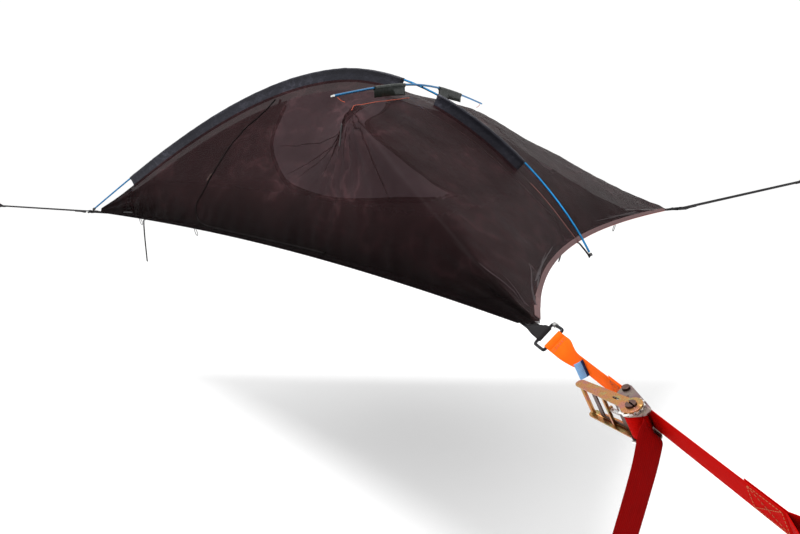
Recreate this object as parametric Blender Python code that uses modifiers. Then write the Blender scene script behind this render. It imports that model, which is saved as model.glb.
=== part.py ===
"""Suspended triangular tree tent, hung by its three corners, with a ratchet strap at the near head corner.

Metres, +Z up. The origin is the middle of the three corners, on the hem plane. The foot corner points along
-X, and the near head corner has negative Y.
"""

import math

import bmesh
import bpy
import numpy as np
from mathutils import Matrix, Vector

COLLECTION_NAME = "tree_tent"
JOINING_NAME = "joining_pieces"

# Plan of the tent
LENGTH = 3.20
HEAD_WIDTH = 2.68
SIDE_SAG = 0.15
HEAD_SAG = 0.23
CLEARANCE = 0.0004
MERGE_DISTANCE = 1e-5

# Main pole, in the upright plane along the tent
POLE_DIAMETER = 0.0095
MAIN_POLE_POINTS = 57
POLE_FOOT_HEIGHT = 0.024
POLE_FOOT_PITCH = math.radians(30.0)
POLE_FOOT_REACH = 0.58
APEX_FROM_FOOT = 1.824
APEX_HEIGHT = 0.763
APEX_REAR_REACH = 0.58
APEX_FRONT_REACH = 0.464
POLE_TIP_BEYOND_HEM = 0.050
POLE_TIP_DROP = 0.040
POLE_TIP_PITCH = math.radians(61.5)
POLE_TIP_REACH = 0.447
POLE_TIP_LENGTH = 0.018
POLE_TIP_DIAMETER = 0.0065
POLE_CUP_DIAMETER = 0.015
POLE_CUP_LENGTH = 0.024

# Spreader pole, across the tent over the main pole
SPREADER_FROM_FOOT = 2.244
SPREADER_HALF_SPAN = 0.746
SPREADER_DROP = 0.068
SPREADER_POLE_POINTS = 19
GATHER_HALF_SPAN = 0.67
GATHER_BELOW_SPREADER = 0.035

# Sleeves that hold the poles
SLEEVE_FIN = 0.045
SLEEVE_WALL = 0.0012
SLEEVE_SLACK = 0.0011
FIN_THICKNESS = 0.0022
REAR_SLEEVE_START = 0.33
REAR_SLEEVE_END = 2.15
FRONT_SLEEVE_START = 2.32
FRONT_SLEEVE_END = 2.73
SPREADER_SLEEVE_START = 0.18
SPREADER_SLEEVE_END = 0.45
HEAD_FIN = 0.028
FOOT_EDGE_SAG = 0.016

# Fabric
SHELL_THICKNESS = 0.0016
SHELL_CORNER_CUT = 0.06
SHELL_NET = (22, 13, 14)
INNER_NET = (12, 7, 8)
RIDGE_HALF_GAP = 0.0022
HEM_SPLIT = 0.68
TAUT_LINE_SAG = 0.012
DOWN_TENSION = 2.5
PLEAT_HEIGHT = 0.012
PLEAT_COUNT = 4
PLEAT_FAN = math.radians(62)
PLEAT_REACH = 0.52
INNER_THICKNESS = 0.0012
INNER_BELOW_RIDGE = 0.045
INNER_INSIDE_HEM = 0.055
INNER_CORNER_CUT = 0.32
INNER_GATHER_INSET = 0.075
FLOOR_THICKNESS = 0.0020
HEM_WIDTH = 0.025
HEM_THICKNESS = 0.0020
HEM_FOOT_GAP = 0.0081
HEM_HEAD_START = 0.090

# Zips: points on a panel as (share of the way from foot to head, share of the way from ridge to hem)
ZIP_WIDTH = 0.011
ZIP_THICKNESS = 0.0022
DOOR_ZIP_ROUTE = (
    (0.405, 0.035),
    (0.385, 0.110),
    (0.350, 0.200),
    (0.320, 0.400),
    (0.300, 0.610),
    (0.288, 0.790),
    (0.307, 0.925),
    (0.350, 0.965),
    (0.470, 0.975),
    (0.620, 0.975),
)
DOOR_ZIP_STEPS = 36
SLIDER_LENGTH = 0.014
SLIDER_WIDTH = 0.010
SLIDER_HEIGHT = 0.006
SLIDER_AT = 0.40
PULL_LENGTH = 0.030
PULL_WIDTH = 0.007
PULL_THICKNESS = 0.0018

# Webbing and links at the corners
WEBBING_WIDTH = 0.050
WEBBING_THICKNESS = 0.0020
LOOP_WIDTH = 0.042
LOOP_SEWN_INSIDE = 0.150
LOOP_SEWN_OVER = 0.046
LINK_ROD = 0.008
LINK_START = 0.016
LINK_LENGTH = 0.056
LINK_WIDTH = 0.066
LINK_CORNER = 0.006
LINK_GAP = 0.009
LINK_NUT_LENGTH = 0.015
LINK_NUT_DIAMETER = 0.0135
NEAR_LINK_TWIST = math.radians(-45)
STRAP_SEWN = 0.085
STRAP_EASE = 0.030
EYE_RADIUS = 0.022
FOOT_STRAP_REACH = 1.00
FAR_STRAP_REACH = 1.14
FAR_STRAP_RISE = 0.11
LONG_STRAP_REACH = 0.90
NEAR_STRAP_DROP = 0.022

# Ratchet, with X along the strap, Y along the spool and Z towards the strap
RATCHET_TILT = math.radians(26)
SPOOL_FROM_CORNER = 0.495
FRAME_LENGTH = 0.062
PLATE_THICKNESS = 0.0030
FRAME_INNER_WIDTH = 0.0550
FRAME_DISC = 0.022
FRAME_BOLT_DISC = 0.011
FRAME_NOSE_DISC = 0.014
FRAME_NOSE_REACH = 0.019
FRAME_NOSE_RISE = 0.009
FRAME_HEEL_DISC = 0.007
FRAME_HEEL_INSET = 0.004
FRAME_HEEL_RISE = 0.006
FRAME_WAIST_ANGLE = math.radians(183)
WHEEL_THICKNESS = 0.0040
WHEEL_TEETH = 12
WHEEL_TIP = 0.0250
WHEEL_ROOT = 0.0200
SPOOL_RADIUS = 0.0100
SPOOL_SLOT = 0.0032
SPOOL_OVERHANG = 0.0035
RUN_GAP = 0.0004
BOLT_DIAMETER = 0.012
BOLT_HEAD = 0.016
BOLT_HEAD_HEIGHT = 0.004
BOLT_NUT = 0.018
BOLT_NUT_HEIGHT = 0.0035
HANDLE_ANGLE = math.radians(192)
HANDLE_LENGTH = 0.156
HANDLE_DISC = 0.021
HANDLE_HALF_WIDTH = 0.013
HANDLE_END_HALF_WIDTH = 0.010
HANDLE_SPACER_AT = 0.076
HANDLE_END_BAR_AT = 0.146
HANDLE_PULL_END = 0.112
BAR_DIAMETER = 0.009
SPACER_DEPTH = 0.006
SPACER_THICKNESS = 0.005
LOCK_ANGLE = math.radians(162)
LOCK_SPACER_AT = 0.052
LOCK_SPACER_DIAMETER = 0.006
LOCK_FRONT_BAR = 0.008
WHEEL_LEAD = math.radians(5)
PAWL_THICKNESS = 0.0030
PAWL_TONGUE = 0.005
PAWL_FRONT_BAR = 0.0166
PAWL_RAIL = 0.006
PAWL_RAIL_INSET = 0.002
PAWL_PULL_BAR = 0.012
PAWL_EAR_START = 0.0345
PAWL_EAR_END = 0.0415
PAWL_EAR_PROUD = 0.0015
PAWL_TRAVEL = 0.0066
SPRING_RADIUS = 0.0040
SPRING_WIRE = 0.0010
SPRING_TURNS = 6
SPRING_POINTS_PER_TURN = 12
WOUND_EXTRA_TURNS = 1
WOUND_PITCH = 0.0026
WOUND_BEND = 0.004
WOUND_STEPS_PER_TURN = 24
SHORT_STRAP_SEWN = 0.050
TWIST_START = 0.095
TWIST_END = 0.235
TWIST_STEP = 0.005
TAIL_DROP = 0.310
TAIL_STEPS = 36
TAIL_TWIST_SHARE = 0.42

# Small soft pieces
LABEL_WIDTH = 0.040
LABEL_REACH = 0.022
LABEL_THICKNESS = 0.0012
LABEL_FROM_BOLT = 0.184
TAB_WIDTH = 0.022
TAB_THICKNESS = 0.002
TAB_SEWN = 0.024
TAB_BEND = 0.010
TAB_ALONG_CUP = 0.020
CUP_SHARE_OF_TIP = 0.6
TOGGLE_SHARES = (0.545, 0.60)
TOGGLE_LIFT = 0.007
HANGING_STRAP_WIDTH = 0.014
HANGING_STRAP_AT = 0.17
HANGING_STRAP_SEWN = 0.022
HANGING_STRAP_BEND = 0.004
HANGING_STRAP_DROP = 0.24
CORD_DIAMETER = 0.003
TIE_FROM_TIP = 0.022
TIE_CLEAR_OF_SEAM = 0.004
TOGGLE_DIAMETER = 0.007

NEAR_SIDE = -1
FAR_SIDE = 1
SIDE_NAMES = {NEAR_SIDE: "near", FAR_SIDE: "far"}
UP = np.array([0.0, 0.0, 1.0])
FOOT = np.array([-2 * LENGTH / 3, 0.0, 0.0])
HEAD_NEAR = np.array([LENGTH / 3, -HEAD_WIDTH / 2, 0.0])
HEAD_FAR = np.array([LENGTH / 3, HEAD_WIDTH / 2, 0.0])
HEM_CENTRE = np.array([LENGTH / 3 - HEAD_SAG, 0.0, 0.0])
SPREADER_X = FOOT[0] + SPREADER_FROM_FOOT
POLE_RADIUS = POLE_DIAMETER / 2
SHELL_BASE = HEM_THICKNESS / 2 + SHELL_THICKNESS + CLEARANCE
INNER_BASE = FLOOR_THICKNESS / 2 + INNER_THICKNESS + CLEARANCE


def start_scene():
    """An empty scene with a collection for the parts and one for the pieces that are joined into them."""
    for old in list(bpy.data.objects):
        bpy.data.objects.remove(old)
    collections = []
    for name in (COLLECTION_NAME, JOINING_NAME):
        collection = bpy.data.collections.new(name)
        bpy.context.scene.collection.children.link(collection)
        collections.append(collection)
    return collections


PARTS, JOINING = start_scene()


def make_material(name, colour, roughness, metallic=0.0):
    material = bpy.data.materials.new(name)
    material.use_nodes = True
    shader = material.node_tree.nodes["Principled BSDF"]
    shader.inputs["Base Color"].default_value = (*colour, 1.0)
    shader.inputs["Roughness"].default_value = roughness
    shader.inputs["Metallic"].default_value = metallic
    return material


SHELL_CLOTH = make_material("shell_cloth", (0.13, 0.10, 0.10), 0.55)
INNER_CLOTH = make_material("inner_cloth", (0.06, 0.05, 0.05), 0.8)
FLOOR_CLOTH = make_material("floor_cloth", (0.04, 0.03, 0.03), 0.7)
BLACK_WEBBING = make_material("black_webbing", (0.02, 0.02, 0.02), 0.8)
HEAD_WEBBING = make_material("head_webbing", (0.30, 0.19, 0.17), 0.8)
BLACK_SLEEVE = make_material("black_sleeve", (0.015, 0.016, 0.018), 0.35)
GREEN_SLEEVE = make_material("green_sleeve", (0.03, 0.05, 0.05), 0.5)
BLUE_POLE = make_material("blue_pole", (0.03, 0.30, 0.60), 0.3, 0.8)
SILVER = make_material("silver", (0.72, 0.72, 0.74), 0.3, 1.0)
ZIP_BLACK = make_material("zip_black", (0.03, 0.015, 0.015), 0.6)
ORANGE_WEBBING = make_material("orange_webbing", (0.95, 0.30, 0.03), 0.75)
RED_WEBBING = make_material("red_webbing", (0.62, 0.01, 0.01), 0.75)
BLUE_LABEL = make_material("blue_label", (0.35, 0.62, 0.90), 0.6)
YELLOW_ZINC = make_material("yellow_zinc", (0.72, 0.56, 0.30), 0.35, 1.0)
MAUVE_ZINC = make_material("mauve_zinc", (0.60, 0.42, 0.42), 0.35, 1.0)
DARK_STEEL = make_material("dark_steel", (0.10, 0.06, 0.05), 0.45, 1.0)
BLACK_STEEL = make_material("black_steel", (0.02, 0.02, 0.02), 0.4, 0.6)
GREY_CORD = make_material("grey_cord", (0.25, 0.24, 0.24), 0.8)


def unit(vector):
    return vector / np.linalg.norm(vector)


def smooth_step(value):
    value = np.clip(value, 0.0, 1.0)
    return value * value * (3 - 2 * value)


def add_object(name, mesh, material, smooth_angle=None):
    """A named part in the tent's collection, shaded smooth where its faces meet at small angles."""
    part = bpy.data.objects.new(name, mesh)
    mesh.materials.clear()
    mesh.materials.append(material)
    PARTS.objects.link(part)
    if smooth_angle:
        mesh.shade_smooth()
        mesh.set_sharp_from_angle(angle=smooth_angle)
    return part


def move_origin(part, place):
    """Puts a moving part's origin on its joint, and leaves the part where it is."""
    offset = Vector(place)
    part.data.transform(Matrix.Translation(-offset))
    part.location = offset
    return part


def closed_mesh(name, body):
    """A mesh from a closed body, with every face turned outwards."""
    body.normal_update()
    bmesh.ops.recalc_face_normals(body, faces=body.faces)
    mesh = bpy.data.meshes.new(name)
    body.to_mesh(mesh)
    body.free()
    return mesh


def solid(name, body, material, smooth_angle=math.radians(40)):
    """One part from a closed body."""
    return add_object(name, closed_mesh(name, body), material, smooth_angle)


def joined(name, bodies, material):
    """One part from closed bodies that overlap."""
    part = solid(name, bodies[0], material)
    for k, body in enumerate(bodies[1:]):
        piece = bpy.data.objects.new(f"{name}_piece_{k}", closed_mesh(name, body))
        piece.hide_render = True
        piece.display_type = "WIRE"
        JOINING.objects.link(piece)
        union = part.modifiers.new(piece.name, "BOOLEAN")
        union.operation = "UNION"
        union.solver = "MANIFOLD"
        union.object = piece
    return part


def loft(rings, closed=False):
    """A body through rings of equally many points, capped at its ends or closed on itself."""
    body = bmesh.new()
    layers = [[body.verts.new(point) for point in ring] for ring in rings]
    pairs = list(zip(layers, layers[1:]))
    if closed:
        pairs.append((layers[-1], layers[0]))
    for low, high in pairs:
        for k in range(len(low)):
            after = (k + 1) % len(low)
            body.faces.new((low[k], low[after], high[after], high[k]))
    if not closed:
        body.faces.new(layers[0])
        body.faces.new(layers[-1])
    return body


def plate(loops, thickness, matrix):
    """A flat plate from an outline and its holes, centred on the local XY plane."""
    outline = bpy.data.curves.new("outline", "CURVE")
    outline.dimensions = "2D"
    outline.fill_mode = "BOTH"
    outline.extrude = thickness / 2
    for loop in loops:
        spline = outline.splines.new("POLY")
        spline.points.add(len(loop) - 1)
        for point, (x, y) in zip(spline.points, loop):
            point.co = (x, y, 0.0, 1.0)
        spline.use_cyclic_u = True
    guide = bpy.data.objects.new("outline", outline)
    bpy.context.scene.collection.objects.link(guide)
    evaluated = guide.evaluated_get(bpy.context.evaluated_depsgraph_get())
    mesh = bpy.data.meshes.new_from_object(evaluated)
    body = bmesh.new()
    body.from_mesh(mesh)
    bmesh.ops.remove_doubles(body, verts=body.verts, dist=MERGE_DISTANCE)
    body.transform(matrix)
    bpy.data.objects.remove(guide)
    bpy.data.curves.remove(outline)
    bpy.data.meshes.remove(mesh)
    return body


def rod(start, end, radius, end_radius=None, sides=12):
    """A round bar, or a cone, between two points."""
    start = np.array(start)
    axis = np.array(end) - start
    body = bmesh.new()
    bmesh.ops.create_cone(
        body,
        cap_ends=True,
        segments=sides,
        radius1=radius,
        radius2=radius if end_radius is None else end_radius,
        depth=float(np.linalg.norm(axis)),
    )
    body.transform(frame_along(start + axis / 2, axis))
    return body


def frame_along(origin, axis, across=None):
    """A placing matrix whose local Z runs along an axis."""
    z = unit(np.array(axis))
    if across is None:
        across = UP if abs(z[2]) < 0.9 else np.array([1.0, 0.0, 0.0])
    y = unit(np.cross(z, across))
    x = np.cross(y, z)
    return frame_of(origin, x, y, z)


def frame_of(origin, x, y, z):
    matrix = Matrix.Identity(4)
    for column, axis in enumerate((x, y, z, origin)):
        for row in range(3):
            matrix[row][column] = axis[row]
    return matrix


def turned_ring(matrix, inner, outer, height, sides, outer_sides=None):
    """A ring round the local Z axis, with a bore, whose outside may have fewer sides."""
    flats = outer_sides or sides
    rings = []
    for radius, z, corners in ((outer, 0, flats), (outer, height, flats), (inner, height, sides), (inner, 0, sides)):
        ring = []
        for k in range(sides):
            angle = 2 * math.pi * k / sides
            nearest = (angle + math.pi / corners) % (2 * math.pi / corners) - math.pi / corners
            stretch = math.cos(math.pi / corners) / math.cos(nearest) if corners < sides else 1.0
            ring.append((radius * stretch * math.cos(angle), radius * stretch * math.sin(angle), z))
        rings.append(ring)
    body = loft(rings, closed=True)
    body.transform(matrix)
    return body


def tube(name, route, diameter, material, resolution=2):
    """Round cord, rod or pole along a route."""
    curve = bpy.data.curves.new(name, "CURVE")
    curve.dimensions = "3D"
    curve.bevel_depth = diameter / 2
    curve.bevel_resolution = resolution
    curve.use_fill_caps = True
    spline = curve.splines.new("POLY")
    spline.points.add(len(route) - 1)
    for point, place in zip(spline.points, route):
        point.co = (*place, 1.0)
    part = bpy.data.objects.new(name, curve)
    curve.materials.append(material)
    PARTS.objects.link(part)
    return part


def through(points, steps):
    """A smooth curve through chosen points."""
    points = np.array(points, float)
    padded = np.vstack([2 * points[0] - points[1], points, 2 * points[-1] - points[-2]])
    spans = len(points) - 1
    curve = []
    for step in range(steps + 1):
        at = min(step / steps * spans, spans - 1e-9)
        k = int(at)
        t = at - k
        p0, p1, p2, p3 = padded[k : k + 4]
        bend = (2 * p0 - 5 * p1 + 4 * p2 - p3) * t**2 + (3 * p1 - p0 - 3 * p2 + p3) * t**3
        curve.append(0.5 * (2 * p1 + (p2 - p0) * t + bend))
    return np.array(curve)


def evenly(points, count):
    """The same line as points at equal distances along it."""
    points = np.array(points)
    along = np.r_[0, np.cumsum(np.linalg.norm(np.diff(points, axis=0), axis=1))]
    places = np.linspace(0, along[-1], count)
    return np.column_stack([np.interp(places, along, points[:, k]) for k in range(points.shape[1])])


def ribbon(centres, normals, across, width, thickness):
    """A flat strip of webbing with square edges."""
    rings = []
    for centre, normal, side in zip(centres, normals, across):
        n = normal * thickness / 2
        w = side * width / 2
        rings.append((centre + n + w, centre + n - w, centre - n - w, centre - n + w))
    return loft(rings)


def arc(centre, radius, start, end, steps):
    angles = np.linspace(start, end, steps + 1)
    return [(centre[0] + radius * math.cos(a), centre[1] + radius * math.sin(a)) for a in angles]


# Hem lines

def hem_point(start, end, sag, share):
    """A point on a hem that bows towards the middle of the tent."""
    chord = end - start
    inward = unit(np.array([-chord[1], chord[0], 0.0]))
    return start + share * chord + 4 * sag * share * (1 - share) * inward


def hem_line(start, end, sag, cut_start, cut_end, count):
    """A hem from a distance past one corner to a distance short of the other."""
    length = np.linalg.norm(end - start)
    shares = np.linspace(cut_start / length, 1 - cut_end / length, count)
    return np.array([hem_point(start, end, sag, share) for share in shares])


def inward_of(line):
    """Unit vectors in the hem plane, towards the inside of a hem that runs anticlockwise."""
    along = np.gradient(line, axis=0)
    return np.array([unit(np.array([-a[1], a[0], 0.0])) for a in along])


def foot_hem_start():
    """Distance from the foot corner at which the two side hems stand clear of each other."""
    length = np.linalg.norm(HEAD_NEAR - FOOT)
    bow = 4 * SIDE_SAG * LENGTH / length
    spread = HEAD_WIDTH / 2 - bow
    half_gap = HEM_WIDTH + HEM_FOOT_GAP / 2
    share = (math.sqrt(spread**2 + 4 * bow * half_gap) - spread) / (2 * bow)
    return share * length


HEM_FOOT_START = foot_hem_start()
HEMS = {
    "near": (FOOT, HEAD_NEAR, SIDE_SAG, HEM_FOOT_START, HEM_HEAD_START),
    "head": (HEAD_NEAR, HEAD_FAR, HEAD_SAG, HEM_HEAD_START, HEM_HEAD_START),
    "far": (HEAD_FAR, FOOT, SIDE_SAG, HEM_HEAD_START, HEM_FOOT_START),
}


def make_hems_and_floor():
    """Webbing along each edge, and the floor laced between the three webbings."""
    outline = []
    for name, hem in HEMS.items():
        line = hem_line(*hem, 19)
        inward = inward_of(line)
        centres = line + inward * HEM_WIDTH / 2
        strip = ribbon(centres, np.tile(UP, (len(line), 1)), inward, HEM_WIDTH, HEM_THICKNESS)
        material = HEAD_WEBBING if name == "head" else BLACK_WEBBING
        solid("hem_webbing_" + name, strip, material)
        edge = line + inward * (HEM_WIDTH + CLEARANCE)
        outline.extend((x, y) for x, y, _ in edge)
    solid("floor_panel", plate([outline], FLOOR_THICKNESS, Matrix.Identity(4)), FLOOR_CLOTH)


# Poles

def bezier(p0, p1, p2, p3, count):
    t = np.linspace(0, 1, count)[:, None]
    return (1 - t) ** 3 * p0 + 3 * (1 - t) ** 2 * t * p1 + 3 * (1 - t) * t**2 * p2 + t**3 * p3


def main_pole_line():
    """The main pole's centre line as (x, z) points from foot to head."""
    foot = np.array([FOOT[0], POLE_FOOT_HEIGHT])
    apex = np.array([FOOT[0] + APEX_FROM_FOOT, APEX_HEIGHT])
    tip = np.array([HEM_CENTRE[0] + POLE_TIP_BEYOND_HEM, -POLE_TIP_DROP])
    foot_pull = foot + POLE_FOOT_REACH * np.array([math.cos(POLE_FOOT_PITCH), math.sin(POLE_FOOT_PITCH)])
    tip_pull = tip + POLE_TIP_REACH * np.array([-math.cos(POLE_TIP_PITCH), math.sin(POLE_TIP_PITCH)])
    rear = bezier(foot, foot_pull, apex - (APEX_REAR_REACH, 0), apex, 120)
    front = bezier(apex, apex + (APEX_FRONT_REACH, 0), tip_pull, tip, 120)
    return np.vstack([rear, front[1:]])


MAIN_LINE = main_pole_line()


def main_pole_at(x):
    """The main pole's centre at a place along the tent, and its upward normal."""
    z = np.interp(x, MAIN_LINE[:, 0], MAIN_LINE[:, 1])
    slopes = np.gradient(MAIN_LINE[:, 1], MAIN_LINE[:, 0])
    slope = np.interp(x, MAIN_LINE[:, 0], slopes)
    return np.array([x, 0.0, z]), unit(np.array([-slope, 0.0, 1.0]))


SPREADER_CROWN = main_pole_at(SPREADER_X)[0][2] + POLE_DIAMETER + CLEARANCE


def spreader_at(y):
    """The spreader's centre: a rod pulled down at both ends over the main pole."""
    share = abs(y) / SPREADER_HALF_SPAN
    return np.array([SPREADER_X, y, SPREADER_CROWN - SPREADER_DROP * (3 * share**2 - share**3) / 2])


def make_poles():
    """Both poles, the tips in their ends and the cups that the main pole stands in."""
    main = np.column_stack([MAIN_LINE[:, 0], np.zeros(len(MAIN_LINE)), MAIN_LINE[:, 1]])
    spreader = np.array([spreader_at(y) for y in np.linspace(-SPREADER_HALF_SPAN, SPREADER_HALF_SPAN, 61)])
    tube("main_pole", evenly(main, MAIN_POLE_POINTS), POLE_DIAMETER, BLUE_POLE)
    tube("spreader_pole", evenly(spreader, SPREADER_POLE_POINTS), POLE_DIAMETER, BLUE_POLE)
    ends = (
        ("pole_tip_foot", main, "pole_cup_foot"),
        ("pole_tip_head", main[::-1], "pole_cup_head"),
        ("spreader_tip_near", spreader, None),
        ("spreader_tip_far", spreader[::-1], None),
    )
    for name, line, cup in ends:
        outward = unit(line[0] - line[3])
        start = line[0] + outward * CLEARANCE
        end = start + outward * POLE_TIP_LENGTH
        solid(name, rod(start, end, POLE_RADIUS, POLE_TIP_DIAMETER / 2), SILVER)
        if cup:
            base = frame_along(end - outward * POLE_CUP_LENGTH / 2, outward)
            bore = POLE_RADIUS + CLEARANCE
            ring = turned_ring(base, bore, POLE_CUP_DIAMETER / 2, POLE_CUP_LENGTH / 2, 12)
            solid(cup, ring, BLACK_WEBBING)


# Sleeves

def sleeve(name, centres, normals, along, feet, material):
    """A fabric tube round a pole, drawn down to a flat fin that is sewn to the shell."""
    bore = POLE_RADIUS + SLEEVE_SLACK
    outside = bore + SLEEVE_WALL
    outer_rings = []
    inner_rings = []
    for centre, normal, direction, foot in zip(centres, normals, along, feet):
        side = np.cross(direction, normal)
        crown = [centre + outside * (math.cos(a) * side + math.sin(a) * normal) for a in np.linspace(0, math.pi, 6)]
        drop = np.dot(foot - centre, normal)
        fin = [(-outside * 0.8, -outside * 0.62), (-FIN_THICKNESS / 2, -outside * 1.7), (-FIN_THICKNESS / 2, drop)]
        left = [centre + s * side + n * normal for s, n in fin]
        right = [centre - s * side + n * normal for s, n in reversed(fin)]
        outer_rings.append(crown + left + right)
        angles = np.r_[np.linspace(0, math.pi, 6), np.radians((218, 255, 264, 276, 285, 322))]
        inner_rings.append([centre + bore * (math.cos(a) * side + math.sin(a) * normal) for a in angles])
    solid(name, loft(outer_rings + inner_rings[::-1], closed=True), material)


def make_sleeves():
    spans = (
        ("main_sleeve_rear", REAR_SLEEVE_START, REAR_SLEEVE_END, 30),
        ("main_sleeve_front", FRONT_SLEEVE_START, FRONT_SLEEVE_END, 8),
    )
    for name, start, end, count in spans:
        places = [main_pole_at(FOOT[0] + x) for x in np.linspace(start, end, count)]
        centres = [place for place, _ in places]
        normals = [normal for _, normal in places]
        along = [np.cross(np.array([0.0, 1.0, 0.0]), normal) for normal in normals]
        feet = [centre - normal * (SLEEVE_FIN - FIN_THICKNESS) for centre, normal in places]
        sleeve(name, centres, normals, along, feet, BLACK_SLEEVE)
    for side, label in SIDE_NAMES.items():
        ys = side * np.linspace(SPREADER_SLEEVE_START, SPREADER_SLEEVE_END, 7)
        centres = [spreader_at(y) for y in ys]
        directions = np.gradient(np.array(centres), axis=0)
        along = [unit(direction) for direction in directions]
        normals = [unit(UP - np.dot(UP, direction) * direction) for direction in along]
        feet = [seam_at(y) + UP * FIN_THICKNESS for y in ys]
        sleeve("spreader_sleeve_" + label, centres, normals, along, feet, GREEN_SLEEVE)


# Fabric panels

def ridge_line(below, count_rear, count_front, corner_cut):
    """The shell's ridge under the main pole: an open edge at the foot, then the seam of the sleeves."""
    xs = FOOT[0] + np.linspace(REAR_SLEEVE_START, FRONT_SLEEVE_END, 160)
    seam = np.array([place - normal * SLEEVE_FIN for place, normal in map(main_pole_at, xs)])
    base = FOOT + UP * SHELL_BASE
    bow = (base + seam[0]) / 2 - unit(np.array([base[2] - seam[0][2], 0.0, seam[0][0] - base[0]])) * FOOT_EDGE_SAG
    t = np.linspace(0, 1, 20)[:-1, None]
    foot_edge = (1 - t) ** 2 * base + 2 * (1 - t) * t * bow + t**2 * seam[0]
    end = HEM_CENTRE + UP * SHELL_BASE
    head_xs = np.linspace(xs[-1], main_pole_head_x(), 20)[1:-1]
    shares = np.linspace(0, 1, 20)[1:-1]
    fins = SLEEVE_FIN + (HEAD_FIN - SLEEVE_FIN) * shares
    head_edge = [p - n * fin for (p, n), fin in zip(map(main_pole_at, head_xs), fins)]
    line = np.vstack([foot_edge, seam, head_edge, end])
    line[:, 2] = np.maximum(line[:, 2] - below * smooth_step(line[:, 2] / 0.25), SHELL_BASE)
    line = line[np.linalg.norm(line - base, axis=1) > corner_cut]
    split = np.searchsorted(line[:, 0], SPREADER_X)
    meeting = np.array([np.interp(SPREADER_X, line[:, 0], line[:, k]) for k in range(3)])
    rear = evenly(np.vstack([line[:split], meeting]), count_rear + 1)
    front = evenly(np.vstack([meeting, line[split:]]), count_front + 1)
    return np.vstack([rear, front[1:]])


def main_pole_head_x():
    """Where the main pole comes down past the hem plane."""
    falling = MAIN_LINE[:, 0] > FOOT[0] + APEX_FROM_FOOT
    return np.interp(-SHELL_BASE, -MAIN_LINE[falling, 1], MAIN_LINE[falling, 0])


def seam_at(y):
    """The seam under the spreader, from the ridge out to the gathering point."""
    crown, normal = main_pole_at(SPREADER_X)
    ridge_height = (crown - normal * SLEEVE_FIN)[2]
    share = min(abs(y) / GATHER_HALF_SPAN, 1.0)
    depth = (SPREADER_CROWN - ridge_height) * (1 - share) + GATHER_BELOW_SPREADER * share
    return spreader_at(y) - UP * depth


def relaxed(net, held):
    """Lets the free points of a net come to rest between the held ones, tighter from ridge to hem."""
    rows, columns = held.shape
    number = -np.ones(held.shape, int)
    number[~held] = np.arange((~held).sum())
    count = (~held).sum()
    pull = np.zeros((count, count))
    load = np.zeros((count, 3))
    for i in range(rows):
        for j in range(columns):
            if held[i, j]:
                continue
            me = number[i, j]
            for a, b in ((i - 1, j), (i + 1, j), (i, j - 1), (i, j + 1)):
                tension = 1.0 if b == j else DOWN_TENSION
                pull[me, me] += tension
                if held[a, b]:
                    load[me] += tension * net[a, b]
                else:
                    pull[me, number[a, b]] -= tension
    net[~held] = np.linalg.solve(pull, load)
    return net


def panel_net(side, rear, front, down, inner):
    """Half of the shell, or of the inner wall, as a net from ridge to hem."""
    inset = INNER_INSIDE_HEM if inner else 0.0
    base = INNER_BASE if inner else SHELL_BASE
    corner_cut = INNER_CORNER_CUT if inner else SHELL_CORNER_CUT
    net = np.zeros((rear + front + 1, down + 1, 3))
    ridge = ridge_line(INNER_BELOW_RIDGE if inner else 0.0, rear, front, corner_cut)
    ridge[:, 1] -= 3 * RIDGE_HALF_GAP if inner else RIDGE_HALF_GAP
    ridge[-1, 0] -= inset
    ridge[:, 2] = np.maximum(ridge[:, 2], base)
    first = corner_cut / LENGTH
    shares = np.r_[np.linspace(first, HEM_SPLIT, rear + 1), np.linspace(HEM_SPLIT, 1 - first, front + 1)[1:]]
    hem = np.array([hem_point(FOOT, HEAD_NEAR, SIDE_SAG, share) for share in shares])
    hem += inward_of(hem) * inset + UP * base
    half = down // 2
    head_shares = np.linspace(0.5, corner_cut / HEAD_WIDTH, half + 1)
    head = np.array([hem_point(HEAD_NEAR, HEAD_FAR, HEAD_SAG, share) for share in head_shares])
    head += np.array([-inset, 0.0, base])
    inward = INNER_GATHER_INSET if inner else 0.0
    seam_ys = -np.linspace(RIDGE_HALF_GAP, GATHER_HALF_SPAN - inward, half + 1)
    seam = np.array([seam_at(y) - UP * (INNER_BELOW_RIDGE if inner else 0.0) for y in seam_ys])
    net[:, 0] = ridge
    net[:, -1] = hem
    net[0] = np.linspace(ridge[0], hem[0], down + 1)
    net[-1, 1 : half + 1] = head[1:]
    net[-1, half:] = np.linspace(head[-1], hem[-1], down - half + 1)
    net[rear, 1 : half + 1] = seam[1:]
    taut = np.linspace(0, 1, front + 1)[:, None]
    net[rear:, half] = seam[-1] + taut * (head[-1] - seam[-1]) - 4 * TAUT_LINE_SAG * taut * (1 - taut) * UP
    held = np.zeros(net.shape[:2], bool)
    held[0] = held[-1] = held[:, 0] = held[:, -1] = True
    held[rear, : half + 1] = True
    held[rear:, half] = True
    net = relaxed(net, held)
    if not inner:
        net = pleated(net, net[rear, half], held)
    net[:, :, 1] *= -side
    return net


def net_normals(net):
    """Unit normals of a net at its points."""
    along = np.gradient(net, axis=0)
    down = np.gradient(net, axis=1)
    normals = np.cross(along, down)
    return normals / np.linalg.norm(normals, axis=2, keepdims=True)


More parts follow.
